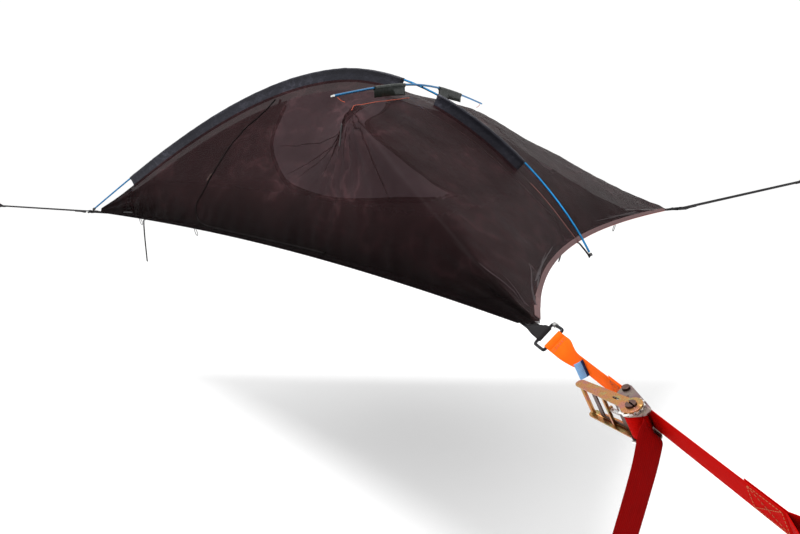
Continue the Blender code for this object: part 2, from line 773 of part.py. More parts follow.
def pleated(net, gather, held):
    """Soft folds that fan out and down from the gathering point."""
    away = net - gather
    distance = np.linalg.norm(away, axis=2)
    angle = np.arctan2(away[:, :, 0], -away[:, :, 2])
    fade = smooth_step(distance / 0.12) * (1 - smooth_step(distance / PLEAT_REACH))
    fan = 1 - smooth_step((np.abs(angle) - PLEAT_FAN * 0.8) / (PLEAT_FAN * 0.4))
    wave = np.cos(2 * math.pi * PLEAT_COUNT * angle / (2 * PLEAT_FAN))
    height = PLEAT_HEIGHT * fade * fan * wave
    height[held] = 0.0
    return net - net_normals(net) * height[:, :, None]


def sheet(name, net, thickness, material, side):
    """A thin sheet of cloth through a net, thickened towards the inside of the tent."""
    rows, columns = net.shape[:2]
    body = bmesh.new()
    verts = [[body.verts.new(point) for point in row] for row in net]
    for i in range(rows - 1):
        for j in range(columns - 1):
            corners = (verts[i][j], verts[i][j + 1], verts[i + 1][j + 1], verts[i + 1][j])
            body.faces.new(corners if side == NEAR_SIDE else corners[::-1])
    mesh = bpy.data.meshes.new(name)
    body.to_mesh(mesh)
    body.free()
    part = add_object(name, mesh, material)
    mesh.shade_smooth()
    thicken = part.modifiers.new("cloth", "SOLIDIFY")
    thicken.thickness = thickness
    thicken.offset = -1.0
    return part


def on_net(net, along, down):
    """A point on a net, and the outward normal there."""
    normals = net_normals(net)
    rows, columns = net.shape[:2]
    i = min(max(along, 0.0), 1.0) * (rows - 1)
    j = min(max(down, 0.0), 1.0) * (columns - 1)
    a = min(int(i), rows - 2)
    b = min(int(j), columns - 2)
    u = i - a
    v = j - b
    weights = ((a, b, (1 - u) * (1 - v)), (a + 1, b, u * (1 - v)), (a, b + 1, (1 - u) * v), (a + 1, b + 1, u * v))
    place = sum(w * net[p, q] for p, q, w in weights)
    return place, unit(sum(w * normals[p, q] for p, q, w in weights))


def zip_line(net, route, steps, side, lift):
    """A zip's tape laid on a panel: centres, outward normals and directions across."""
    shares = through(route, steps)
    places = [on_net(net, *share) for share in shares]
    outward = np.array([normal * np.sign(normal[1] * side) for _, normal in places])
    centres = np.array([place for place, _ in places]) + outward * lift
    along = np.gradient(centres, axis=0)
    across = np.array([unit(np.cross(n, a)) for n, a in zip(outward, along)])
    return centres, outward, across


def make_panels():
    """Shell and inner walls on both sides, with their door zips."""
    for side, label in SIDE_NAMES.items():
        shell = panel_net(side, *SHELL_NET, inner=False)
        inner = panel_net(side, *INNER_NET, inner=True)
        sheet("shell_panel_" + label, shell, SHELL_THICKNESS, SHELL_CLOTH, side)
        sheet("inner_wall_" + label, inner, INNER_THICKNESS, INNER_CLOTH, side)
        lift = ZIP_THICKNESS / 2 + 3 * CLEARANCE
        tape = zip_line(shell, DOOR_ZIP_ROUTE, DOOR_ZIP_STEPS, side, lift)
        solid("door_zip_" + label, ribbon(*tape, ZIP_WIDTH, ZIP_THICKNESS), ZIP_BLACK)
        make_slider(tape, label)


def make_slider(tape, label):
    """The slider on the straight stretch of a door zip, with its pull lying down the tape."""
    centres, outward, across = tape
    k = int(SLIDER_AT * (len(centres) - 1))
    along = unit(centres[k] - centres[k + 1])
    side = unit(np.cross(outward[k], along))
    normal = np.cross(along, side)
    base = centres[k] + normal * (ZIP_THICKNESS / 2 + 3 * CLEARANCE)
    outline = [
        (-SLIDER_LENGTH / 2, -SLIDER_WIDTH * 0.30),
        (0.0, -SLIDER_WIDTH / 2),
        (SLIDER_LENGTH / 2, -SLIDER_WIDTH * 0.42),
        (SLIDER_LENGTH / 2, SLIDER_WIDTH * 0.42),
        (0.0, SLIDER_WIDTH / 2),
        (-SLIDER_LENGTH / 2, SLIDER_WIDTH * 0.30),
    ]
    body_height = SLIDER_HEIGHT - PULL_THICKNESS - CLEARANCE
    middle = frame_of(base + normal * body_height / 2, along, side, normal)
    move_origin(solid("zip_slider_" + label, plate([outline], body_height, middle), DARK_STEEL), base)
    pull = [(PULL_THICKNESS / 2, -PULL_WIDTH / 2), (PULL_THICKNESS / 2, PULL_WIDTH / 2)]
    pull += arc((-PULL_LENGTH, 0.0), PULL_WIDTH * 0.7, math.pi / 2, 3 * math.pi / 2, 6)
    hole = arc((-PULL_LENGTH, 0.0), PULL_WIDTH * 0.3, 0.0, 2 * math.pi, 8)[:-1]
    pivot = base + normal * (body_height + CLEARANCE + PULL_THICKNESS / 2)
    body = plate([pull, hole], PULL_THICKNESS, frame_of(pivot, along, side, normal))
    move_origin(solid("zip_pull_" + label, body, DARK_STEEL), pivot)


# Straps

class Corner:
    """A corner's pulling direction, with the axes that a strap there bends and lies along."""

    def __init__(self, place, drop=0.0):
        self.place = place
        self.along = unit(unit(place * (1, 1, 0)) - UP * drop)
        self.across = unit(np.cross(UP, self.along))
        self.normal = np.cross(self.along, self.across)

    def turned(self, angle):
        """Bending and width directions after a twist about the strap."""
        bend = math.cos(angle) * self.normal + math.sin(angle) * self.across
        width = -math.sin(angle) * self.normal + math.cos(angle) * self.across
        return bend, width

    def at(self, distance):
        return self.place + self.along * distance


CORNERS = {"foot": Corner(FOOT), "near": Corner(HEAD_NEAR), "far": Corner(HEAD_FAR)}
LAYER = WEBBING_THICKNESS / 2 + CLEARANCE


def sling(corner, profile, twist, width, thickness):
    """Webbing along a profile of (distance, offset) points, twisted about the strap's own line."""
    profile = np.array(profile)
    steps = np.gradient(profile, axis=0)
    centres = []
    normals = []
    across = []
    for (distance, offset), (ds, dn) in zip(profile, steps):
        bend, wide = corner.turned(twist(distance))
        centres.append(corner.at(distance) + bend * offset)
        normals.append(unit(bend * ds - corner.along * dn))
        across.append(wide)
    return ribbon(centres, normals, across, width, thickness)


def wrap_radius(bar_radius):
    """How far from a bar's centre the middle of the webbing round it lies."""
    return bar_radius + WEBBING_THICKNESS / 2 + CLEARANCE


def start_wrap(at, radius, sewn):
    """Webbing from its sewn end back to a bar, round it and out again."""
    points = [(at + sewn, -LAYER), (at + STRAP_EASE, -LAYER)]
    points += arc((at, 0.0), radius, -math.pi / 2, -3 * math.pi / 2, 8)
    return points + [(at + STRAP_EASE, LAYER)]


def end_wrap(at, radius, sewn, ease=STRAP_EASE):
    """Webbing round a bar or an eye at its far end and back to its sewn end."""
    points = [(at - ease, LAYER)]
    points += arc((at, 0.0), radius, math.pi / 2, -math.pi / 2, 8)
    return points + [(at - ease, -LAYER), (at - ease - sewn, -LAYER)]


def run(start, end, count):
    """The single layer between two wraps."""
    return [(s, LAYER) for s in np.linspace(start, end, count + 2)[1:-1]]


LINK_INNER_BAR = LINK_START
LINK_OUTER_BAR = LINK_START + LINK_LENGTH
BAR_WRAP = wrap_radius(LINK_ROD / 2)


def make_corner(name, corner, twist):
    """The sewn loop of a corner with its rectangular screw link."""
    gap = HEM_THICKNESS / 2 + WEBBING_THICKNESS / 2 + CLEARANCE
    profile = [(-LOOP_SEWN_INSIDE, -gap), (-0.09, -gap), (-0.045, -gap), (-0.020, -gap)]
    profile += arc((LINK_INNER_BAR, 0.0), BAR_WRAP, -math.pi / 2, math.pi / 2, 8)
    profile += [(-0.020, gap), (-LOOP_SEWN_OVER, gap)]
    loop = sling(corner, profile, lambda s: twist * smooth_step((s + 0.045) / 0.05), LOOP_WIDTH, WEBBING_THICKNESS)
    solid("corner_loop_" + name, loop, BLACK_WEBBING)
    make_link(name, corner, twist)


def make_link(name, corner, twist):
    """A rectangular link whose open side leg is closed by a sliding nut."""
    bend, wide = corner.turned(twist)
    middle = (LINK_INNER_BAR + LINK_OUTER_BAR) / 2
    half_length = LINK_LENGTH / 2
    half_width = LINK_WIDTH / 2
    gap_from = -half_length + LINK_CORNER + LINK_GAP / 2
    gap_to = gap_from + LINK_GAP
    outline = [(gap_to, half_width)]
    corners = (
        (half_length, half_width, 0.5),
        (half_length, -half_width, 0.0),
        (-half_length, -half_width, -0.5),
        (-half_length, half_width, -1.0),
    )
    for s, w, quarter in corners:
        centre = (s - math.copysign(LINK_CORNER, s), w - math.copysign(LINK_CORNER, w))
        outline += arc(centre, LINK_CORNER, quarter * math.pi, (quarter - 0.5) * math.pi, 4)
    outline.append((gap_from, half_width))
    route = [corner.at(middle + s) + wide * w for s, w in outline]
    tube("link_" + name, route, LINK_ROD, BLACK_STEEL)
    start = corner.at(middle + (gap_from + gap_to) / 2 - LINK_NUT_LENGTH / 2) + wide * half_width
    bore = LINK_ROD / 2 + CLEARANCE
    nut = turned_ring(frame_along(start, corner.along, bend), bore, LINK_NUT_DIAMETER / 2, LINK_NUT_LENGTH, 12, 6)
    move_origin(solid("link_nut_" + name, nut, SILVER), start)


def make_tree_straps():
    """Straps from the foot and far links to sewn eyes, drawn taut."""
    for name, reach, rise in (("foot", FOOT_STRAP_REACH, 0.0), ("far", FAR_STRAP_REACH, FAR_STRAP_RISE)):
        profile = start_wrap(LINK_OUTER_BAR, BAR_WRAP, STRAP_SEWN)
        profile += run(LINK_OUTER_BAR + STRAP_EASE, reach - 2 * STRAP_EASE, 6)
        profile += end_wrap(reach, EYE_RADIUS, STRAP_SEWN, 2 * STRAP_EASE)
        line = Corner(CORNERS[name].place - UP * LINK_OUTER_BAR * rise, -rise)
        strap = sling(line, profile, lambda s: 0.0, WEBBING_WIDTH, WEBBING_THICKNESS)
        solid(name + "_tree_strap", strap, BLACK_WEBBING)


# Ratchet

NEAR = Corner(HEAD_NEAR + UP * LINK_OUTER_BAR * NEAR_STRAP_DROP, NEAR_STRAP_DROP)
RATCHET_TWIST = -(math.pi / 2 + RATCHET_TILT)
STRAPWARD = math.cos(RATCHET_TILT) * NEAR.across + math.sin(RATCHET_TILT) * NEAR.normal
SPOOL_AXIS = np.cross(STRAPWARD, NEAR.along)
HALF_WEBBING = WEBBING_THICKNESS / 2
BEND_REACH = math.hypot(SPOOL_RADIUS + RUN_GAP, WOUND_BEND)
WOUND_START = -math.atan2(WOUND_BEND, SPOOL_RADIUS + RUN_GAP)
WOUND_SWEEP = 3 * math.pi / 2 + WOUND_START + 2 * math.pi * WOUND_EXTRA_TURNS
WOUND_OUTER = BEND_REACH + WOUND_BEND + WOUND_PITCH * WOUND_SWEEP / (2 * math.pi) + HALF_WEBBING
STRAP_LINE = WOUND_OUTER + CLEARANCE + HALF_WEBBING + LAYER
SPOOL_CENTRE = NEAR.at(SPOOL_FROM_CORNER) - STRAPWARD * STRAP_LINE
RATCHET = frame_of(SPOOL_CENTRE, NEAR.along, SPOOL_AXIS, STRAPWARD)
ON_EDGE = Matrix.Rotation(math.pi / 2, 4, "X")
HANDLE = RATCHET @ Matrix.Rotation(-HANDLE_ANGLE, 4, "Y")
LOCK = RATCHET @ Matrix.Rotation(-LOCK_ANGLE, 4, "Y")
FRAME_OUTER = FRAME_INNER_WIDTH / 2 + PLATE_THICKNESS
WHEEL_INNER = FRAME_OUTER + RUN_GAP
WHEEL_OUTER = WHEEL_INNER + WHEEL_THICKNESS
HANDLE_INNER = WHEEL_OUTER + RUN_GAP
HANDLE_OUTER = HANDLE_INNER + PLATE_THICKNESS
SPOOL_END = HANDLE_OUTER + SPOOL_OVERHANG
SPOOL_BORE = SPOOL_RADIUS + RUN_GAP
PAWL_TIP = (WHEEL_TIP + WHEEL_ROOT) / 2
PAWL_SHOULDER = PAWL_TIP + PAWL_TONGUE
PAWL_BACK = PAWL_SHOULDER + PAWL_FRONT_BAR
LOCK_BACK = PAWL_SHOULDER + LOCK_FRONT_BAR
PAWL_HALF_WIDTH = WHEEL_OUTER
SLOT_HALF = PAWL_THICKNESS / 2 + RUN_GAP


def local_points(matrix, points):
    """World places of points given in a local frame."""
    return [np.array(matrix @ Vector(point)) for point in points]


def local_rod(matrix, start, end, radius, sides=12):
    first, last = local_points(matrix, (start, end))
    return rod(first, last, radius, sides=sides)


def pair_of_plates(loops, inner, thickness, matrix):
    """The same plate on both sides of the ratchet."""
    plates = []
    for side in (-1, 1):
        offset = Matrix.Translation((0.0, side * (inner + thickness / 2), 0.0))
        plates.append(plate(loops, thickness, matrix @ offset @ ON_EDGE))
    return plates


def circle(centre, radius, count):
    return arc(centre, radius, 0.0, 2 * math.pi, count)[:-1]


def slot(angle, start, end):
    """A radial slot for a pawl, at an angle round the spool."""
    c = math.cos(angle)
    s = math.sin(angle)
    corners = ((start, -SLOT_HALF), (end, -SLOT_HALF), (end, SLOT_HALF), (start, SLOT_HALF))
    return [(r * c - n * s, r * s + n * c) for r, n in corners]


def past(first, second):
    """The angle, on both of two discs, of the straight edge that runs anticlockwise from one to the other."""
    (x0, z0), radius0 = first
    (x1, z1), radius1 = second
    return math.atan2(z1 - z0, x1 - x0) - math.acos((radius0 - radius1) / math.hypot(x1 - x0, z1 - z0))


def frame_outline(bolt):
    """Round the spool, the nose beyond it, the bolt and the heel, open along the waist for the handle's pawl."""
    hub = ((0.0, 0.0), FRAME_DISC)
    nose = ((FRAME_NOSE_REACH, FRAME_NOSE_RISE), FRAME_NOSE_DISC)
    end = (bolt, FRAME_BOLT_DISC)
    heel = ((FRAME_HEEL_INSET - FRAME_LENGTH, FRAME_HEEL_RISE), FRAME_HEEL_DISC)
    to_nose = past(hub, nose)
    to_end = past(nose, end)
    to_heel = past(end, heel) + 2 * math.pi
    outline = arc(*hub, FRAME_WAIST_ANGLE - 2 * math.pi, to_nose, 12)
    outline += arc(*nose, to_nose, to_end, 10)
    outline += arc(*end, to_end, to_heel, 8)
    return outline + arc(*heel, to_heel, 3 * math.pi / 2, 5)


def make_frame():
    """The fixed side plates with the bolt that holds the short strap."""
    bolt = (-FRAME_LENGTH, STRAP_LINE)
    loops = [
        frame_outline(bolt),
        circle((0.0, 0.0), SPOOL_BORE, 20),
        circle(bolt, BOLT_DIAMETER / 2 + RUN_GAP, 12),
        slot(LOCK_ANGLE, PAWL_SHOULDER - 2 * RUN_GAP, LOCK_BACK + PAWL_TRAVEL + 2 * RUN_GAP),
    ]
    plates = pair_of_plates(loops, FRAME_INNER_WIDTH / 2, PLATE_THICKNESS, RATCHET)
    half = FRAME_INNER_WIDTH / 2 + PLATE_THICKNESS / 2
    ends = ((LOCK_SPACER_AT, -half, 0.0), (LOCK_SPACER_AT, half, 0.0))
    spacer = local_rod(LOCK, *ends, LOCK_SPACER_DIAMETER / 2)
    joined("ratchet_frame", plates + [spacer], MAUVE_ZINC)
    seat = FRAME_OUTER + RUN_GAP
    steps = (
        (BOLT_HEAD / 2, -seat - BOLT_HEAD_HEIGHT),
        (BOLT_HEAD / 2, -seat),
        (BOLT_DIAMETER / 2, -seat),
        (BOLT_DIAMETER / 2, seat + BOLT_NUT_HEIGHT + RUN_GAP),
    )
    rings = []
    for radius, y in steps:
        ring = [(x, y, z) for x, z in circle(bolt, radius, 12)]
        rings.append(local_points(RATCHET, ring))
    solid("strap_bolt", loft(rings), DARK_STEEL)
    base = local_points(RATCHET, [(bolt[0], seat, bolt[1])])[0]
    bore = BOLT_DIAMETER / 2 + RUN_GAP
    nut = turned_ring(frame_along(base, SPOOL_AXIS), bore, BOLT_NUT / 2, BOLT_NUT_HEIGHT, 12, 6)
    solid("strap_bolt_nut", nut, SILVER)


def make_spool():
    """Two half-round bars with the webbing between them, turning with the toothed wheels."""
    rise = math.asin(SPOOL_SLOT / 2 / SPOOL_RADIUS)
    upper = arc((0.0, 0.0), SPOOL_RADIUS, rise, math.pi - rise, 12)
    lower = [(x, -z) for x, z in upper]
    for name, outline in (("spool_half_upper", upper), ("spool_half_lower", lower)):
        half = solid(name, plate([outline], 2 * SPOOL_END, RATCHET @ ON_EDGE), DARK_STEEL)
        move_origin(half, SPOOL_CENTRE)
    teeth = []
    pitch = 2 * math.pi / WHEEL_TEETH
    for tooth in range(WHEEL_TEETH):
        steep = LOCK_ANGLE + WHEEL_LEAD + tooth * pitch
        for radius, turn in ((WHEEL_TIP, 0.0), (PAWL_TIP, 0.5), (WHEEL_ROOT, 1.0)):
            teeth.append((radius * math.cos(steep + turn * pitch), radius * math.sin(steep + turn * pitch)))
    wheel = [teeth, circle((0.0, 0.0), SPOOL_BORE, 20)]
    wheels = pair_of_plates(wheel, WHEEL_INNER, WHEEL_THICKNESS, RATCHET)
    for name, body in zip(("ratchet_wheel_near", "ratchet_wheel_far"), wheels):
        move_origin(solid(name, body, SILVER), SPOOL_CENTRE)
    make_wound_webbing()


def make_wound_webbing():
    """Webbing through the spool's slot and round it, up to where the long strap leaves."""
    exit_x = SPOOL_RADIUS + RUN_GAP
    path = [(x, 0.0) for x in np.linspace(-SPOOL_RADIUS * 0.8, exit_x * 0.9, 4)]
    path += arc((exit_x, -WOUND_BEND), WOUND_BEND, math.pi / 2, WOUND_START, 6)
    steps = int(WOUND_STEPS_PER_TURN * WOUND_SWEEP / (2 * math.pi))
    for step in range(1, steps + 1):
        swept = WOUND_SWEEP * step / steps
        radius = BEND_REACH + WOUND_BEND + WOUND_PITCH * swept / (2 * math.pi)
        path.append((radius * math.cos(WOUND_START - swept), radius * math.sin(WOUND_START - swept)))
    path = np.array(path)
    along = np.gradient(path, axis=0)
    centres = local_points(RATCHET, [(x, 0.0, z) for x, z in path])
    normals = [unit(NEAR.along * -dz + STRAPWARD * dx) for dx, dz in along]
    roll = ribbon(centres, normals, [SPOOL_AXIS] * len(path), WEBBING_WIDTH, WEBBING_THICKNESS)
    move_origin(solid("wound_webbing", roll, RED_WEBBING), SPOOL_CENTRE)
    print("wound webbing, least gap between turns:", round(turn_gap(path) * 1000, 2), "mm")


def turn_gap(path):
    """Least distance between webbing faces of a wound path, leaving out neighbouring points."""
    least = 1.0
    for k, point in enumerate(path):
        others = path[k + WOUND_STEPS_PER_TURN // 2 :]
        if len(others):
            least = min(least, np.linalg.norm(others - point, axis=1).min())
    return least - WEBBING_THICKNESS


def make_handle():
    """The handle's plates and crossbars with its sprung pawl, which is drawn back while the handle is shut."""
    root = math.asin(HANDLE_HALF_WIDTH / HANDLE_DISC)
    outline = arc((0.0, 0.0), HANDLE_DISC, root, 2 * math.pi - root, 18)
    end = HANDLE_LENGTH - HANDLE_END_HALF_WIDTH
    outline += arc((end, 0.0), HANDLE_END_HALF_WIDTH, -math.pi / 2, math.pi / 2, 8)
    ear_slot = slot(0.0, PAWL_EAR_START - 2 * RUN_GAP, PAWL_EAR_END + PAWL_TRAVEL + 2 * RUN_GAP)
    loops = [outline, circle((0.0, 0.0), SPOOL_BORE, 20), ear_slot]
    plates = pair_of_plates(loops, HANDLE_INNER, PLATE_THICKNESS, HANDLE)
    half = HANDLE_INNER + PLATE_THICKNESS / 2
    grip = local_rod(HANDLE, (HANDLE_END_BAR_AT, -half, 0.0), (HANDLE_END_BAR_AT, half, 0.0), BAR_DIAMETER / 2)
    low = PAWL_THICKNESS / 2 + RUN_GAP
    high = low + SPACER_DEPTH
    lug = SPRING_RADIUS + SPRING_WIRE
    tee = [(-half, low), (-lug, low), (-lug, -lug), (lug, -lug), (lug, low), (half, low), (half, high), (-half, high)]
    upright = Matrix(((0, 0, 1, HANDLE_SPACER_AT), (1, 0, 0, 0), (0, 1, 0, 0), (0, 0, 0, 1)))
    spacer = plate([tee], SPACER_THICKNESS, HANDLE @ upright)
    move_origin(joined("ratchet_handle", [spacer, grip] + plates, YELLOW_ZINC), SPOOL_CENTRE)
    ear = HANDLE_OUTER + PAWL_EAR_PROUD
    rail = PAWL_HALF_WIDTH - PAWL_RAIL_INSET
    back = [
        (PAWL_EAR_START, PAWL_HALF_WIDTH),
        (PAWL_EAR_START, ear),
        (PAWL_EAR_END, ear),
        (PAWL_EAR_END, PAWL_HALF_WIDTH),
        (PAWL_BACK, PAWL_HALF_WIDTH),
        (PAWL_BACK, rail),
        (HANDLE_PULL_END, rail),
    ]
    window_half = rail - PAWL_RAIL
    window_end = HANDLE_PULL_END - PAWL_PULL_BAR
    window = [
        (PAWL_BACK, -window_half),
        (window_end, -window_half),
        (window_end, window_half),
        (PAWL_BACK, window_half),
    ]
    drawn_back = HANDLE @ Matrix.Translation((PAWL_TRAVEL, 0.0, 0.0))
    pawl = solid("handle_pawl", plate([pawl_outline(back), window], PAWL_THICKNESS, drawn_back), DARK_STEEL)
    move_origin(pawl, SPOOL_CENTRE)
    spring_end = HANDLE_SPACER_AT - SPACER_THICKNESS / 2
    make_spring("handle_pawl_spring", HANDLE, PAWL_BACK + PAWL_TRAVEL, spring_end)


def pawl_outline(back):
    """A pawl's outline: a tongue for each toothed wheel, then the back edge given for one side."""
    front = [
        (PAWL_SHOULDER, WHEEL_INNER),
        (PAWL_TIP, WHEEL_INNER),
        (PAWL_TIP, PAWL_HALF_WIDTH),
    ]
    half = front + back
    return half + [(r, -y) for r, y in reversed(half)]


def make_spring(name, matrix, start, end):
    """A compression spring between a pawl and its spacer."""
    low = start + SPRING_WIRE / 2 + CLEARANCE
    high = end - SPRING_WIRE / 2 - CLEARANCE
    steps = SPRING_TURNS * SPRING_POINTS_PER_TURN
    route = []
    for step in range(steps + 1):
        turn = 2 * math.pi * step / SPRING_POINTS_PER_TURN
        y = SPRING_RADIUS * math.cos(turn)
        z = SPRING_RADIUS * math.sin(turn)
        route.append((low + (high - low) * step / steps, y, z))
    tube(name, local_points(matrix, route), SPRING_WIRE, SILVER, resolution=1)


def make_lock_pawl():
    """The sprung pawl in the frame that keeps the spool from running back."""
    outline = pawl_outline([(LOCK_BACK, PAWL_HALF_WIDTH)])
    move_origin(solid("lock_pawl", plate([outline], PAWL_THICKNESS, LOCK), DARK_STEEL), SPOOL_CENTRE)
    make_spring("lock_pawl_spring", LOCK, LOCK_BACK, LOCK_SPACER_AT - LOCK_SPACER_DIAMETER / 2)


def near_twist(distance):
    """The twist of the near strap, which turns on its way from the link to the ratchet."""
    share = smooth_step((distance - TWIST_START) / (TWIST_END - TWIST_START))
    return NEAR_LINK_TWIST + (RATCHET_TWIST - NEAR_LINK_TWIST) * share


def make_near_straps():
    """Short strap from link to bolt, long strap from spool to its eye, label and hanging tail."""
    bolt_at = SPOOL_FROM_CORNER - FRAME_LENGTH
    profile = start_wrap(LINK_OUTER_BAR, BAR_WRAP, SHORT_STRAP_SEWN)
    profile += run(LINK_OUTER_BAR + STRAP_EASE, bolt_at - STRAP_EASE, 12)
    profile += end_wrap(bolt_at, wrap_radius(BOLT_DIAMETER / 2), SHORT_STRAP_SEWN)
    short = sling(NEAR, dense_profile(profile), near_twist, WEBBING_WIDTH, WEBBING_THICKNESS)
    solid("short_strap", short, ORANGE_WEBBING)
    profile = [(SPOOL_FROM_CORNER - 0.004, LAYER)]
    profile += run(SPOOL_FROM_CORNER, LONG_STRAP_REACH - 2 * STRAP_EASE, 4)
    profile += end_wrap(LONG_STRAP_REACH, EYE_RADIUS, STRAP_SEWN, 2 * STRAP_EASE)
    long = sling(NEAR, profile, near_twist, WEBBING_WIDTH, WEBBING_THICKNESS)
    solid("long_strap", long, RED_WEBBING)
    face = STRAP_LINE - LAYER - HALF_WEBBING - CLEARANCE - LABEL_REACH / 2
    label_x = -FRAME_LENGTH - LABEL_FROM_BOLT
    edge = [(label_x, y, face + z) for y, z in rectangle(LABEL_WIDTH, LABEL_REACH)]
    rings = [local_points(RATCHET, [(x + side * LABEL_THICKNESS / 2, y, z) for x, y, z in edge]) for side in (-1, 1)]
    solid("strap_label", loft(rings), BLUE_LABEL)
    make_tail()


def rectangle(width, height):
    return ((-width / 2, -height / 2), (width / 2, -height / 2), (width / 2, height / 2), (-width / 2, height / 2))


def dense_profile(profile):
    """A strap profile with its long stretches cut into short ones."""
    points = [profile[0]]
    for before, after in zip(profile, profile[1:]):
        parts = max(1, round(abs(after[0] - before[0]) / TWIST_STEP))
        for part in range(1, parts + 1):
            share = part / parts
            points.append(tuple(b + (a - b) * share for b, a in zip(before, after)))
    return points


def make_tail():
    """The loose end below the spool, turning from the spool's direction to hang free."""
    begin = STRAPWARD * 0.003
    points = [
        begin + NEAR.along * 0.0255,
        begin + NEAR.along * 0.038 - NEAR.across * 0.001 - UP * 0.001,
        NEAR.along * 0.051 - NEAR.across * 0.008 - UP * 0.016,
        NEAR.along * 0.055 - NEAR.across * 0.017 - UP * 0.056,
        NEAR.along * 0.055 - NEAR.across * 0.033 - UP * 0.126,
        NEAR.along * 0.055 - NEAR.across * 0.055 - UP * 0.216,
        NEAR.along * 0.055 - NEAR.across * 0.077 - UP * TAIL_DROP,
    ]
    centres = through(points, TAIL_STEPS) + SPOOL_CENTRE
    along = [unit(step) for step in np.gradient(centres, axis=0)]
    normals = []
    across = []
    for k, direction in enumerate(along):
        share = smooth_step((k / TAIL_STEPS) / TAIL_TWIST_SHARE)
        wide = (1 - share) * SPOOL_AXIS + share * NEAR.across
        wide = unit(wide - np.dot(wide, direction) * direction)
        across.append(wide)
        normals.append(np.cross(direction, wide))
    solid("strap_tail", ribbon(centres, normals, across, WEBBING_WIDTH, WEBBING_THICKNESS), RED_WEBBING)


# Small soft pieces

def make_trim():
    """Tab, ties, toggles, cord loops and the strap that hangs near the foot."""
    tip = MAIN_LINE[-1]
    outward = unit(np.array([math.cos(POLE_TIP_PITCH), 0.0, -math.sin(POLE_TIP_PITCH)]))
    inside = np.array([-math.sin(POLE_TIP_PITCH), 0.0, -math.cos(POLE_TIP_PITCH)])
    cup = np.array([tip[0], 0.0, tip[1]]) + outward * POLE_TIP_LENGTH * CUP_SHARE_OF_TIP
    under = HEM_THICKNESS / 2 + TAB_THICKNESS / 2 + CLEARANCE
    against = POLE_CUP_DIAMETER / 2 + TAB_THICKNESS / 2 + 2 * CLEARANCE
    points = [
        HEM_CENTRE + np.array([-TAB_SEWN, 0.0, -under]),
        HEM_CENTRE + np.array([-TAB_SEWN / 2, 0.0, -under]),
        HEM_CENTRE + np.array([0.0, 0.0, -under - CLEARANCE]),
        HEM_CENTRE + np.array([TAB_BEND, 0.0, -under - TAB_BEND * 0.7]),
        cup + inside * (against + CLEARANCE) - outward * TAB_ALONG_CUP * 0.7,
        cup + inside * against + outward * TAB_ALONG_CUP * 0.3,
    ]
    centres = through(points, 12)
    across = [np.array([0.0, 1.0, 0.0])] * len(centres)
    normals = [unit(np.cross(step, side)) for step, side in zip(np.gradient(centres, axis=0), across)]
    solid("head_pole_tab", ribbon(centres, normals, across, TAB_WIDTH, TAB_THICKNESS), BLACK_WEBBING)
    for side, label in SIDE_NAMES.items():
        tie_top = spreader_at(side * (SPREADER_HALF_SPAN - TIE_FROM_TIP)) - UP * (POLE_RADIUS + CORD_DIAMETER)
        gather = seam_at(side * GATHER_HALF_SPAN) + np.array([0.0, side, 1.0]) * TIE_CLEAR_OF_SEAM
        slack = (tie_top + gather) / 2 - UP * CORD_DIAMETER
        tube("spreader_tie_" + label, [tie_top, slack, gather], CORD_DIAMETER, GREY_CORD)
        net = panel_net(side, *SHELL_NET, inner=False)
        ends = []
        for down in TOGGLE_SHARES:
            place, normal = on_net(net, SHELL_NET[0] / (SHELL_NET[0] + SHELL_NET[1]), down)
            ends.append(place + normal * np.sign(normal[1] * side) * TOGGLE_LIFT)
        toggle = rod(ends[0], ends[1], TOGGLE_DIAMETER / 2, sides=8)
        solid("tieback_toggle_" + label, toggle, BLACK_WEBBING)
    here = hem_point(FOOT, HEAD_NEAR, SIDE_SAG, HANGING_STRAP_AT)
    ahead = unit(hem_point(FOOT, HEAD_NEAR, SIDE_SAG, HANGING_STRAP_AT + 0.01) - here)
    inward = np.array([-ahead[1], ahead[0], 0.0])
    under = HEM_THICKNESS / 2 + WEBBING_THICKNESS / 2 + CLEARANCE
    points = [
        here + inward * HANGING_STRAP_SEWN - UP * under,
        here + inward * HANGING_STRAP_SEWN / 2 - UP * under,
        here + inward * HANGING_STRAP_BEND / 2 - UP * (under + HANGING_STRAP_BEND / 3),
        here - inward * HANGING_STRAP_BEND - UP * (under + 3 * HANGING_STRAP_BEND),
        here - inward * HANGING_STRAP_BEND * 1.5 - UP * HANGING_STRAP_DROP * 0.42,
        here - inward * HANGING_STRAP_BEND - UP * HANGING_STRAP_DROP,
    ]
    centres = through(points, 16)
    across = [ahead] * len(centres)
    normals = [unit(np.cross(step, ahead)) for step in np.gradient(centres, axis=0)]
    strap = ribbon(centres, normals, across, HANGING_STRAP_WIDTH, WEBBING_THICKNESS)
    solid("hanging_strap", strap, BLACK_WEBBING)


make_hems_and_floor()
make_poles()
make_sleeves()
make_panels()
make_corner("foot", CORNERS["foot"], 0.0)
make_corner("near", CORNERS["near"], NEAR_LINK_TWIST)
make_corner("far", CORNERS["far"], 0.0)
make_tree_straps()
make_frame()
make_spool()
make_handle()
make_lock_pawl()
make_near_straps()
make_trim()
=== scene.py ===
"""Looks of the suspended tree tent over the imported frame: cloth, webbing and metal. Metres, +Z up."""

import math

import bmesh
import bpy
import numpy as np
from mathutils import Matrix, Vector, noise
from mathutils.bvhtree import BVHTree
from mathutils.kdtree import KDTree


